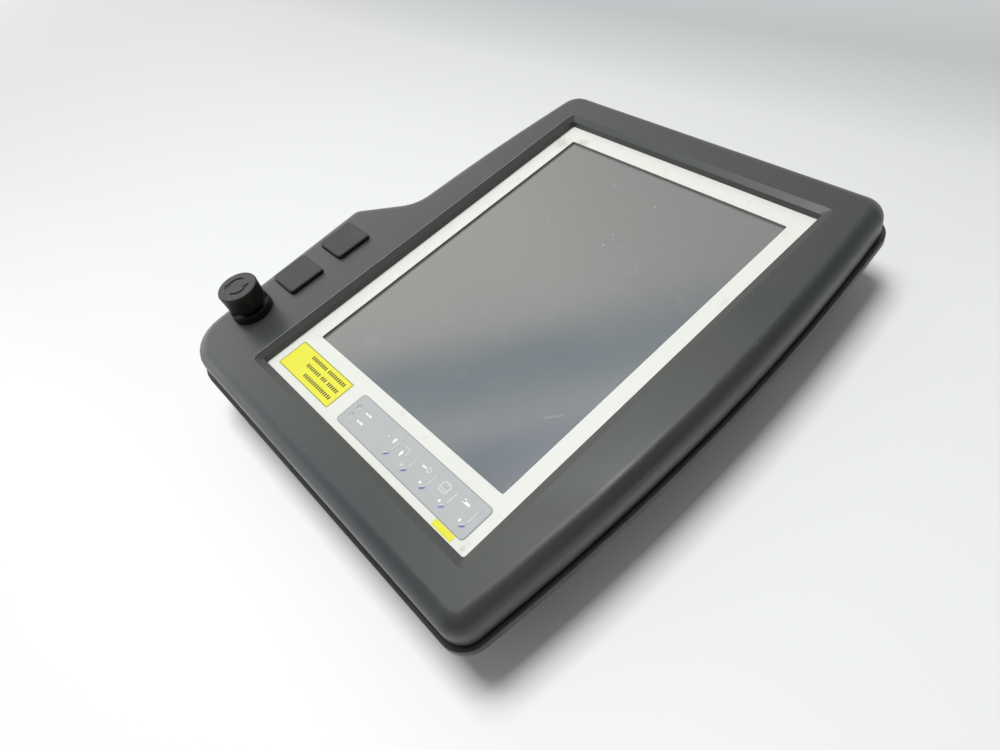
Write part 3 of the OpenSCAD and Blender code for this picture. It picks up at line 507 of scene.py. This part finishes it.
def simple_finishes():
    """The finishes of the other pieces, by material slot.

    The numbers are roughness, the grain's width, its contrast and its relief. A grain whose real
    width is given in its comment is too fine to show, and is drawn coarser.
    """
    c = bpy.context.scene.pendant_colours
    made = {
        # ABS moulded in a spark-eroded tool, 0.2 mm: matt, and darker than the frame
        "tray_plastic": surface(
            "abs_moulded_charcoal", tuple(c.tray), 0.5, 0.6, 0.10, 0.012, IOR=1.5),
        # Rubber pressed in a hot mould, 0.2 mm: black, with hardly a highlight
        "seal_rubber": surface("rubber_moulded_black", tuple(c.rubber), 0.7, 0.8, 0.2, 0.01),
        # Polyester film, printed on its back, 0.05 mm: smooth, with one soft highlight
        "key_foil": surface(
            "polyester_foil_printed", tuple(c.foil), 0.42, 0.8, 0.03, 0.004, cloud=12),
        # Calendered vinyl film, 0.2 mm: an even, strong yellow
        "yellow_film": surface(
            "vinyl_film_yellow", tuple(c.film), 0.45, 1.2, 0.02, 0.004, cloud=8),
        # Polyamide moulded in a fine tool, 0.2 mm: black, with a satin edge
        "knob_plastic": surface(
            "polyamide_moulded_black", tuple(c.knob), 0.42, 0.7, 0.2, 0.006),
        # Soft rubber moulded over plastic, 0.2 mm: black and dull to the side
        "cap_rubber": surface(
            "rubber_soft_touch_black", tuple(c.cap), 0.6, 0.7, 0.15, 0.008),
        # Polyamide moulded in a grained tool, 0.2 mm: a mid grey that parts it from the tray
        "paddle_plastic": surface(
            "polyamide_moulded_grey", tuple(c.paddle), 0.5, 0.7, 0.08, 0.012),
        # Moulded polyamide whose glass fibres, 0.2 mm, come near the surface: black and uneven
        "black_plastic": surface(
            "polyamide_glass_filled_black", linear("#161617"), 0.45, 0.6, 0.2, 0.008),
        # Brass, turned and nickel plated, with tool marks of 0.05 mm: bright and slightly cool
        "inlet_metal": surface(
            "brass_nickel_plated", linear("#B9BBBB"), 0.28, 0.5, 0.04, 0.002, Metallic=1.0),
        # Cold-headed steel with a zinc layer, 0.02 mm: a pale grey metal without a sharp mirror
        "screw_steel": surface(
            "steel_zinc_plated", linear("#A6A8AA"), 0.35, 0.4, 0.06, 0.003, Metallic=1.0),
        # Hot-dip galvanised sheet: its crystals are drawn at their real 5 mm
        "sheet_steel": surface(
            "steel_sheet_galvanised", linear("#B4B7BA"), 0.4, 5, 0.08, 0.002, Metallic=1.0),
        # Lacquered sheet round the display, 0.1 mm: an even silver grey
        "display_case": surface(
            "display_case_silver_grey", linear("#9A9DA0"), 0.4, 1, 0.04, 0.003),
        # Brass, turned and gilded, with tool marks of 0.05 mm: warm and bright
        "brass": surface(
            "brass_turned_gilt", linear("#CDAA55"), 0.25, 0.4, 0.05, 0.002, Metallic=1.0),
        # Aluminium drawn through a die, with lines of 0.1 mm: pale and satin
        "aluminium": surface(
            "aluminium_extruded", linear("#B7BABC"), 0.35, 0.6, 0.05, 0.003, Metallic=1.0),
        # Resist cured over copper tracks, which show at their real 2 mm: glossy green
        "board_green": surface(
            "circuit_board_solder_resist", linear("#1F5B3C"), 0.3, 2, 0.15, 0.006),
        # Heat-shrunk sleeve, wrinkled at its real 3 mm: off-white, with a wavy highlight
        "battery_sleeve": surface("shrink_sleeve_white", linear("#D9DAD5"), 0.35, 3, 0.04, 0.004),
        # Laminated flat cable with wires 0.8 mm apart: beige and smooth
        "ribbon": surface("flat_cable_beige", linear("#D8CFB2"), 0.5, 0.8, 0.05, 0.006),
    }
    return {slot: parts[0] for slot, parts in made.items()}


def ink(name, shade, roughness=0.5):
    """Ink, screen-printed through a mesh of 0.05 mm that is drawn at 0.5 mm: flat and even. The
    same finish colours the painted shade and highlights on the key foil.
    """
    return surface(name, shade, roughness, 0.5, 0.04, 0.002, cloud=4)[0]


FINISHES = {}


def finish(slot):
    """The finish of a material slot, made once."""
    if not FINISHES:
        FINISHES.update(simple_finishes())
        FINISHES.update(
            frame_plastic=frame_finish(), plate_paint=plate_finish(), touch_glass=glass_finish())
    return FINISHES[slot]


# ---- Operators ----


class HousingOperator(bpy.types.Operator):
    """Dress the moulded frame, the tray behind it and the seal between them"""

    bl_idname = "pendant.housing"
    bl_label = "Housing"

    def execute(self, context):
        sizes = context.scene.pendant_sizes
        low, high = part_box("front_shell")
        mesh = merged("front_shell")
        # The creases and openings of the frame's face
        soften(mesh, sizes.frame_edge, 3, 15, lambda edge: middle_z(edge) > high.z - NEAR)
        self.choose_finishes(mesh, high.z)
        soften(mesh, sizes.seam_edge, 2, 40, lambda edge: middle_z(edge) < low.z + NEAR)
        # The crease takes the paler finish, partly a painted highlight, and the slope below it the
        # painted shade
        finishes = [finish("frame_plastic"), crease_wear_and_highlight_finish(), slope_painted_shade_finish()]
        piece("front_shell_surface", mesh, finishes, "front_shell", ["front_shell"])

        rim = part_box("rear_shell")[1].z
        mesh = merged("rear_shell")
        relay_floor(mesh)
        soften(mesh, sizes.seam_edge, 2, 40, lambda edge: middle_z(edge) > rim - NEAR)
        piece("rear_shell_surface", mesh, finish("tray_plastic"), "rear_shell", ["rear_shell"])
        dress("housing_seal", finish("seal_rubber"))
        dress("rubber_feet", finish("seal_rubber"), sizes.cover_edge)
        dress("housing_screws", finish("screw_steel"), sizes.insert_edge)
        return {"FINISHED"}

    def choose_finishes(self, mesh, top):
        """Marks the crease at the foot of the raised corner, which is rubbed and takes a painted
        highlight, and the slope below it, which takes a painted shade.
        """
        plate_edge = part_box("front_plate")[1].y
        reach, crease_depth = 3 * MM, 0.3 * MM
        for face in mesh.faces:
            place = face.calc_center_median()
            if abs(place.y - plate_edge) < reach and -0.9 < face.normal.y < -0.05:
                face.material_index = 1 if place.z > top - crease_depth else 2


class FrontPlateOperator(bpy.types.Operator):
    """Dress the painted plate, the touch glass in it and the gasket between them"""

    bl_idname = "pendant.front_plate"
    bl_label = "Front plate"

    def execute(self, context):
        colours, sizes = context.scene.pendant_colours, context.scene.pendant_sizes
        face = above(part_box("front_plate")[1].z - NEAR)
        dress("front_plate", finish("plate_paint"), sizes.plate_edge, 2, 30, face)
        dress("touch_panel", finish("touch_glass"))
        paint(finish("seal_rubber"), "screen_gasket")
        self.marks(colours)
        return {"FINISHED"}

    def marks(self, colours):
        """A few dried marks of use on the touch glass: scratches, a curl, a smear and spots."""
        place = Matrix.Translation((0, 0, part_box("touch_panel")[1].z))
        faint, clear = bmesh.new(), bmesh.new()
        bar(faint, place, -30.2, 27.2, 0.5, 9, 8)
        bar(faint, place, -32.3, 18.6, 0.45, 7, 24)
        hoop(faint, place, -32.3, 6.2, 1.6, 0.4, start=40, sweep=230)
        dot(faint, place, -50.6, -84.2, 0.85, stretch=7, turn=-42)
        dot(faint, place, 97.7, 10.2, 1.5, stretch=1.6, turn=30)
        dot(faint, place, 99.4, 5.6, 0.9)
        for x, y, r in ((94.2, -24.6, 0.6), (62.6, -20, 0.55), (53.1, -20.9, 0.7), (57, -31, 0.4)):
            dot(clear, place, x, y, r)
        faded = ink("dried_mark_faint", tuple(colours.faint_mark), 0.6)
        piece("glass_marks_faint", closed(faint), faded, "touch_panel", weighted=False)
        dried = ink("dried_mark_clear", tuple(colours.clear_mark), 0.6)
        piece("glass_marks_clear", closed(clear), dried, "touch_panel", weighted=False)


class KeyStripOperator(bpy.types.Operator):
    """Dress the key foil, its keys and lamps, and print it"""

    bl_idname = "pendant.key_strip"
    bl_label = "Key strip"

    def execute(self, context):
        colours, sizes = context.scene.pendant_colours, context.scene.pendant_sizes
        low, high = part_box("key_foil")
        white = ink("screen_ink_white_and_highlight", tuple(colours.white_ink_and_highlight))
        blue = ink("screen_ink_blue", tuple(colours.blue_ink))
        pale = ink("screen_ink_pale_and_highlight", tuple(colours.pale_ink_and_highlight))
        grey = ink("painted_shade_grey", tuple(colours.grey_painted_shade))
        dress("key_foil", finish("key_foil"))

        # A thin darker line just inside the foil's edge: painted shade of the foil's edge
        width, height = (high.x - low.x) / MM, (high.y - low.y) / MM
        middle = Matrix.Translation(((low.x + high.x) / 2, (low.y + high.y) / 2, high.z))
        mesh = bmesh.new()
        outline(mesh, middle, width - 0.7, height - 0.7, 2.2, 0.35)
        piece("foil_edge_painted_shade", closed(mesh), grey, "key_foil", weighted=False)
        self.print_lamps(middle, height, white, grey)

        for k, node in enumerate(KEYS):
            self.dress_key(node, sizes)
            self.print_key(k, node, (blue, white, pale))
        paint(finish("board_green"), "key_circuit")
        paint(finish("screw_steel"), "key_domes")
        return {"FINISHED"}

    def print_lamps(self, middle, height, white, grey):
        """Two embossed lamp windows, each ringed by a dark arc of painted shade and a white arc of
        painted highlight, and a broken dash below each.
        """
        painted_shade_arcs, marks, panes = bmesh.new(), bmesh.new(), bmesh.new()
        for x, y in ((-2.95, height / 2 - 4.9), (2.95, height / 2 - 5.1)):
            # A dark arc of painted shade round the window
            hoop(painted_shade_arcs, middle, x, y, 1.3, 0.35, start=-58, sweep=220, depth=0.06)
            # A white arc of painted highlight round the window's other side
            hoop(marks, middle, x, y, 1.3, 0.3, start=172, sweep=110, depth=0.05)
            dot(panes, middle, x, y, 1.1, depth=0.2)
            bar(marks, middle, x - 0.1, y - 7.2, 0.9, 2.2)
            bar(marks, middle, x, y - 9.9, 1.1, 2.4)
        piece("lamp_painted_shade_arcs", closed(painted_shade_arcs), grey, "key_foil", weighted=False)
        piece("lamp_highlights_and_dashes", closed(marks), white, "key_foil", weighted=False)
        piece("lamp_panes", closed(panes), finish("key_foil"), "key_foil", weighted=False)

    def dress_key(self, node, sizes):
        """A key pad that nearly fills its opening in the foil."""
        low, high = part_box(node)
        mesh = bmesh.new()
        size = high - low + Vector((1, 1, 0)) * (sizes.key_room - 2 * sizes.key_gap)
        bmesh.ops.create_cube(
            mesh, size=1,
            matrix=Matrix.Translation((low + high) / 2) @ Matrix.Diagonal((*size, 1)))
        upright = [e for e in mesh.edges if abs(e.verts[0].co.z - e.verts[1].co.z) > NEAR]
        bmesh.ops.bevel(
            mesh, geom=upright, offset=sizes.key_corner, offset_type="OFFSET", segments=6,
            profile=0.5, affect="EDGES", clamp_overlap=True, loop_slide=True, material=-1)
        piece(node + "_pad", mesh, finish("key_foil"), node, [node])

    def print_key(self, k, node, inks):
        """The key's blue dot with a painted reflection above it, its white dot and sign, and below
        them a pale line that is a painted highlight along the embossed pad.
        """
        low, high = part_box(node)
        place = Matrix.Translation(((low.x + high.x) / 2, (low.y + high.y) / 2, high.z))
        blue, white, pale = bmesh.new(), bmesh.new(), bmesh.new()
        dot(blue, place, -5.2, -4.95, 0.62, stretch=2.7, turn=-47)
        # A pale painted reflection on the embossed dot, above the blue
        dot(pale, place, -4.8, -4.2, 0.5, stretch=2.6, turn=-47)
        # A pale painted highlight along the embossed pad's lower rim
        bar(pale, place, 1.2, -5.8, 6.6, 0.8 if k == 3 else 0.5, -2)
        if k:
            dot(white if k > 1 else pale, place, -3.75, -1.8, 0.72)
        if k == 0:
            # A long dot with a faint one above it
            dot(white, place, 2.6, -2.7, 0.72, stretch=2.3, turn=-3)
            dot(pale, place, 2.2, 2.3, 0.6)
        elif k == 1:
            # A long dot beside a faint corner
            dot(white, place, 0.1, 3.84, 0.78, stretch=2.2, turn=9)
            bar(pale, place, 4.3, 3.0, 0.45, 3.7, 8)
            bar(pale, place, 2.4, 0.95, 3.6, 0.45, 5)
        elif k == 2:
            # An upright stroke that ends in a small ring
            bar(white, place, 3.15, 2.8, 0.95, 3.6, 5)
            hoop(pale, place, 3.4, -0.3, 1.25, 0.6)
            dot(white, place, 3.3, 0.9, 0.6)
        elif k == 3:
            # A faint box with a line in it
            for x, w in ((0.1, 0.7), (1.5, 0.45), (4.9, 0.7)):
                bar(pale, place, x, 1.45, w, 4.6)
            for y in (-1.2, 4.1):
                bar(pale, place, 2.5, y, 4.2, 0.7)
        else:
            # An upright stroke with a dot at its top
            bar(white, place, 3.75, 2.2, 1.35, 4.7, 2)
            dot(white, place, 4.5, 3.9, 0.8)
        for name, mesh, shade in (("dot", blue, 0), ("sign", white, 1), ("line", pale, 2)):
            if mesh.verts:
                piece(f"{node}_{name}", closed(mesh), inks[shade], node, weighted=False)


class LabelOperator(bpy.types.Operator):
    """Lay the bare yellow label and the small yellow sticker on the plate"""

    bl_idname = "pendant.label"
    bl_label = "Yellow label"

    def execute(self, context):
        colours, sizes = context.scene.pendant_colours, context.scene.pendant_sizes
        dress("yellow_label", finish("yellow_film"), sizes.film_edge, 1)
        dress("strip_sticker", finish("yellow_film"), sizes.film_edge, 1)
        low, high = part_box("yellow_label")
        top = Matrix.Translation(((low.x + high.x) / 2, (low.y + high.y) / 2, high.z))
        width, height = (high.x - low.x) / MM, (high.y - low.y) / MM
        mesh = bmesh.new()
        outline(mesh, top, width - 0.8, height - 0.8, 0.6, 0.7)
        piece(
            "label_line", closed(mesh), ink("screen_ink_olive", tuple(colours.olive_ink)),
            "yellow_label", weighted=False)

        # Three ruled lines of equal ticks, in groups, in place of writing
        tick_height, tick_width, pitch, group_gap, margin = 2.3, 1.0, 1.75, 1.5, 4.6
        mesh = bmesh.new()
        for x, groups in ((-4.9, (16,)), (0.4, (6, 3, 8)), (5.7, (10, 9))):
            y = -height / 2 + margin
            for ticks in groups:
                for k in range(ticks):
                    bar(mesh, top, x, y, tick_height, tick_width)
                    y += pitch
                y += group_gap
        piece(
            "label_bars", closed(mesh), ink("marker_ink_dark", tuple(colours.dark_ink)),
            "yellow_label", weighted=False)
        return {"FINISHED"}


class StopButtonOperator(bpy.types.Operator):
    """Dress the stop button: knob, collar, plunger and the parts below them"""

    bl_idname = "pendant.stop_button"
    bl_label = "Stop button"

    def execute(self, context):
        colours, sizes = context.scene.pendant_colours, context.scene.pendant_sizes
        # Moulded polyamide with flecks of 0.9 mm, painted a dull grey on top: a painted sheen where
        # the light falls
        painted_sheen = surface(
            "polyamide_top_painted_sheen", tuple(colours.painted_sheen_top), 0.5, 0.9, 0.12, 0.01, cloud=9)[0]
        top, arrow_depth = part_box("stop_knob")[1].z, 0.2 * MM
        mesh = merged("stop_knob")
        soften(mesh, sizes.knob_edge, 2, 40)
        # The top, all but the recessed arrows, takes the painted sheen
        for face in mesh.faces:
            if face.calc_center_median().z > top - arrow_depth:
                face.material_index = 1
        piece("stop_knob_surface", mesh, [finish("knob_plastic"), painted_sheen], "stop_knob", ["stop_knob"])
        for node in ("stop_collar", "stop_plunger"):
            dress(node, finish("knob_plastic"), sizes.collar_edge, 2, 35)
        paint(finish("seal_rubber"), "stop_gasket")
        paint(finish("screw_steel"), "stop_nut")
        # The coil gets a mesh of its own
        coil = dress("stop_spring", finish("screw_steel"))
        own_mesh(coil)
        paint(finish("black_plastic"), "stop_contact_block")
        return {"FINISHED"}


class PushButtonsOperator(bpy.types.Operator):
    """Dress the two square push buttons and what is under them"""

    bl_idname = "pendant.push_buttons"
    bl_label = "Push buttons"

    def execute(self, context):
        colours, sizes = context.scene.pendant_colours, context.scene.pendant_sizes
        # Moulded soft rubber with flecks of 0.8 mm, painted a dull grey on top: a painted sheen
        # where the light falls
        painted_sheen = surface(
            "rubber_top_painted_sheen", tuple(colours.painted_sheen_top), 0.55, 0.8, 0.08, 0.01, cloud=12)[0]
        dished = 1.2 * MM
        for node in ("button_cap_left", "button_cap_right"):
            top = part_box(node)[1].z
            mesh = merged(node)
            soften(mesh, sizes.cap_edge, 3, 40, above(top - NEAR))
            # The dished top takes the painted sheen
            for face in mesh.faces:
                if face.normal.z > 0.6 and face.calc_center_median().z > top - dished:
                    face.material_index = 1
            piece(node + "_surface", mesh, [finish("cap_rubber"), painted_sheen], node, [node])
        paint(finish("black_plastic"), "button_switches")
        paint(finish("board_green"), "button_board")
        paint(finish("screw_steel"), "button_board_screws")
        return {"FINISHED"}


class BackOperator(bpy.types.Operator):
    """Dress the enabling paddle, the cable inlet and the service cover"""

    bl_idname = "pendant.back"
    bl_label = "Back"

    def execute(self, context):
        sizes = context.scene.pendant_sizes
        dress("enabling_paddle", finish("paddle_plastic"), sizes.paddle_edge, 3)
        dress("cable_inlet", finish("inlet_metal"), sizes.inlet_edge)
        dress("inlet_insert", finish("black_plastic"), sizes.insert_edge)
        dress("inlet_pins", finish("brass"))
        dress("inlet_screws", finish("screw_steel"), sizes.screw_edge)
        dress("service_cover", finish("tray_plastic"), sizes.cover_edge)
        dress("cover_screws", finish("screw_steel"), sizes.screw_edge)
        return {"FINISHED"}


class InsideOperator(bpy.types.Operator):
    """Give the pieces inside the housing their finishes"""

    bl_idname = "pendant.inside"
    bl_label = "Inside"

    def execute(self, context):
        # A node that a piece stands for is hidden, and the others keep their own mesh
        for node, thing in NODES.items():
            if not thing.hide_render:
                paint(finish(SLOT_OF[node]), node)
        return {"FINISHED"}


class StageOperator(bpy.types.Operator):
    """Set up the pale floor, the soft lights, the room and the camera"""

    bl_idname = "pendant.stage"
    bl_label = "Studio"

    def execute(self, context):
        studio, sizes = context.scene.pendant_studio, context.scene.pendant_sizes
        self.floor(sizes)
        self.lamp("key_light", studio.key_light_at, studio.key_light_size, studio.key_light)
        self.room(context, studio)
        self.camera(context, studio)
        context.scene.view_settings.view_transform = "Standard"
        return {"FINISHED"}

    def floor(self, sizes):
        """Matt white paper below the feet, pressed smooth: no highlight, and a soft shadow."""
        mesh = bmesh.new()
        bmesh.ops.create_grid(
            mesh, x_segments=1, y_segments=1, size=sizes.floor_size / 2,
            matrix=Matrix.Translation((0, 0, -0.02 * MM)))
        data = bpy.data.meshes.new("floor")
        mesh.to_mesh(data)
        mesh.free()
        material, tree, shader, place = new_material(
            "paper_sweep_white", 0.9, Specular_IOR_Level=0.0)
        axes = add(tree, "SeparateXYZ", {0: place}).outputs
        # Painted light and shade: white on the side of the key strip, and greyer beyond the other
        # side
        across = add(
            tree, "Math", {0: axes["Y"], 1: 0.12, 2: axes["X"]}, operation="MULTIPLY_ADD")
        along = add(tree, "MapRange", {"Value": across, "From Min": -400, "From Max": 1600})
        shade = add(
            tree, "ValToRGB", {"Fac": along}, [(spot, linear(code)) for spot, code in FLOOR_TONES])
        # The camera and gloss see part of the paper as a glow of its tones, painted light that
        # lifts the
        # floor and its shadow: a little of it near the pendant, and all of it far off
        rays = add(tree, "LightPath").outputs
        reflected = add(
            tree, "Math", {0: rays["Is Glossy Ray"], 1: rays["Is Transmission Ray"]})
        seen = add(
            tree, "Math", {0: rays["Is Camera Ray"], 1: reflected}, use_clamp=True)
        distance = add(tree, "VectorMath", {0: place}, operation="LENGTH")
        away = add(tree, "MapRange", {
            "Value": distance, "From Min": 350, "From Max": 1400, "To Min": 0.08, "To Max": 1})
        # Far off, the paper's own white is one even tone
        white = add(tree, "Mix", {
            0: add(tree, "MapRange", {"Value": distance, "From Min": 350, "From Max": 700}),
            6: shade, 7: (*linear("#EEEFEF"), 1)}, data_type="RGBA")
        glow = add(tree, "Emission", {"Color": white, "Strength": 1})
        both = add(tree, "MixShader", {
            0: add(tree, "Math", {0: seen, 1: away}, operation="MULTIPLY"), 1: shader, 2: glow})
        feed(tree, tree.nodes["Material Output"], {"Surface": both})
        feed(tree, shader, {"Base Color": shade})
        data.materials.append(material)
        made = bpy.data.objects.new("floor", data)
        bpy.context.scene.collection.objects.link(made)

    def lamp(self, name, place, size, power):
        """A square soft lamp that shines from a place towards the pendant."""
        data = bpy.data.lights.new(name, "AREA")
        data.shape, data.size, data.energy = "SQUARE", size, power
        made = bpy.data.objects.new(name, data)
        made.location = place
        made.rotation_mode = "QUATERNION"
        made.rotation_quaternion = (-Vector(place)).to_track_quat("-Z", "Y")
        made.visible_glossy = False
        bpy.context.scene.collection.objects.link(made)

    def room(self, context, studio):
        """Light from the pale side, and for gloss a wall of bands with a lit panel overhead."""
        world = bpy.data.worlds.new("room")
        world.use_nodes = True
        context.scene.world = world
        tree = world.node_tree
        way = add(tree, "TexCoord").outputs["Generated"]
        pale_side = Vector((-0.05, 0.4, 0.92)).normalized()
        facing = add(tree, "VectorMath", {0: way, 1: pale_side}, operation="DOT_PRODUCT")
        lit = add(tree, "ValToRGB", {"Fac": add(
            tree, "MapRange", {"Value": facing, "From Min": -1, "From Max": 1})}, [
            (0, (0, 0, 0)), (0.6, (0.03, 0.03, 0.03)), (0.72, (0.3, 0.3, 0.3)), (0.9, (1, 1, 1))])
        lit = add(tree, "VectorMath", {0: lit, "Scale": studio.room_light}, operation="SCALE")
        wall_up = (-0.448, -0.576, 0.683)
        rise = add(tree, "VectorMath", {0: way, 1: wall_up}, operation="DOT_PRODUCT")
        wall = add(tree, "ValToRGB", {"Fac": add(
            tree, "MapRange", {"Value": rise, "From Min": -0.4, "From Max": 0.4})}, WALL_TONES)
        # The wall is dimmer towards one side, along X
        side = add(tree, "ValToRGB", {"Fac": add(
            tree, "MapRange", {"Value": add(tree, "SeparateXYZ", {0: way}), "From Min": -1})}, [
            (0.52, (1, 1, 1)), (0.565, (0.66, 0.66, 0.66)), (0.71, (0.66, 0.66, 0.66)),
            (0.84, (0.34, 0.34, 0.34))])
        wall = add(tree, "VectorMath", {0: wall, 1: side}, operation="MULTIPLY")
        panel_way = Vector((0.21, 0.25, 0.945)).normalized()
        overhead = add(tree, "VectorMath", {0: way, 1: panel_way}, operation="DOT_PRODUCT")
        panel = add(tree, "MapRange", {
            "Value": overhead, "From Min": 0.972, "From Max": 0.992, "To Max": 5.4})
        mirrored = add(
            tree, "VectorMath", {0: wall, 1: (1.5, 1.5, 1.5), 2: panel}, operation="MULTIPLY_ADD")
        mirrored = add(
            tree, "VectorMath", {0: mirrored, "Scale": studio.mirrored_light}, operation="SCALE")
        rays = add(tree, "LightPath").outputs
        glossy = add(tree, "Math", {
            0: rays["Is Glossy Ray"], 1: rays["Is Transmission Ray"]}, use_clamp=True)
        shade = add(tree, "Mix", {0: glossy, 6: lit, 7: mirrored}, data_type="RGBA")
        shade = add(tree, "Mix", {
            0: rays["Is Camera Ray"], 6: shade, 7: (0.9, 0.9, 0.9, 1)}, data_type="RGBA")
        feed(tree, tree.nodes["Background"], {"Color": shade, "Strength": 1})

    def camera(self, context, studio):
        """A camera that looks down on the front from the key strip's lower corner."""
        data = bpy.data.cameras.new("camera")
        data.lens, data.sensor_width = studio.lens, 36
        data.clip_start, data.clip_end = 0.01, 20
        made = bpy.data.objects.new("camera", data)
        right, up = Vector(studio.camera_right), Vector(studio.camera_up)
        turn = Matrix((right, up, right.cross(up))).transposed()
        made.matrix_world = Matrix.Translation(studio.camera_at) @ turn.to_4x4()
        context.scene.collection.objects.link(made)
        context.scene.camera = made


class PendantPanel(bpy.types.Panel):
    """Lists the pendant's pieces and settings"""

    bl_idname = "VIEW3D_PT_pendant"
    bl_label = "Teach pendant"
    bl_space_type = "VIEW_3D"
    bl_region_type = "UI"
    bl_category = "Pendant"

    def draw(self, context):
        for operator in OPERATORS:
            self.layout.operator(operator.bl_idname)
        for group in SETTINGS:
            box = self.layout.box()
            settings = getattr(context.scene, group)
            for name in SETTINGS[group].__annotations__:
                box.prop(settings, name)


OPERATORS = (
    HousingOperator, FrontPlateOperator, KeyStripOperator, LabelOperator, StopButtonOperator,
    PushButtonsOperator, BackOperator, InsideOperator, StageOperator)
SETTINGS = {
    "pendant_colours": PendantColours, "pendant_sizes": PendantSizes,
    "pendant_studio": PendantStudio}


def register():
    """Registers the classes and hangs their settings on the scene."""
    for group, kind in SETTINGS.items():
        bpy.utils.register_class(kind)
        setattr(bpy.types.Scene, group, bpy.props.PointerProperty(type=kind))
    for kind in (*OPERATORS, PendantPanel):
        bpy.utils.register_class(kind)


def unregister():
    """Takes away what register made."""
    for kind in (PendantPanel, *reversed(OPERATORS)):
        bpy.utils.unregister_class(kind)
    for group, kind in SETTINGS.items():
        delattr(bpy.types.Scene, group)
        bpy.utils.unregister_class(kind)


def main():
    """Registers the classes and runs the operators in order."""
    register()
    for operator in OPERATORS:
        family, name = operator.bl_idname.split(".")
        getattr(getattr(bpy.ops, family), name)()


if __name__ == "__main__":
    main()
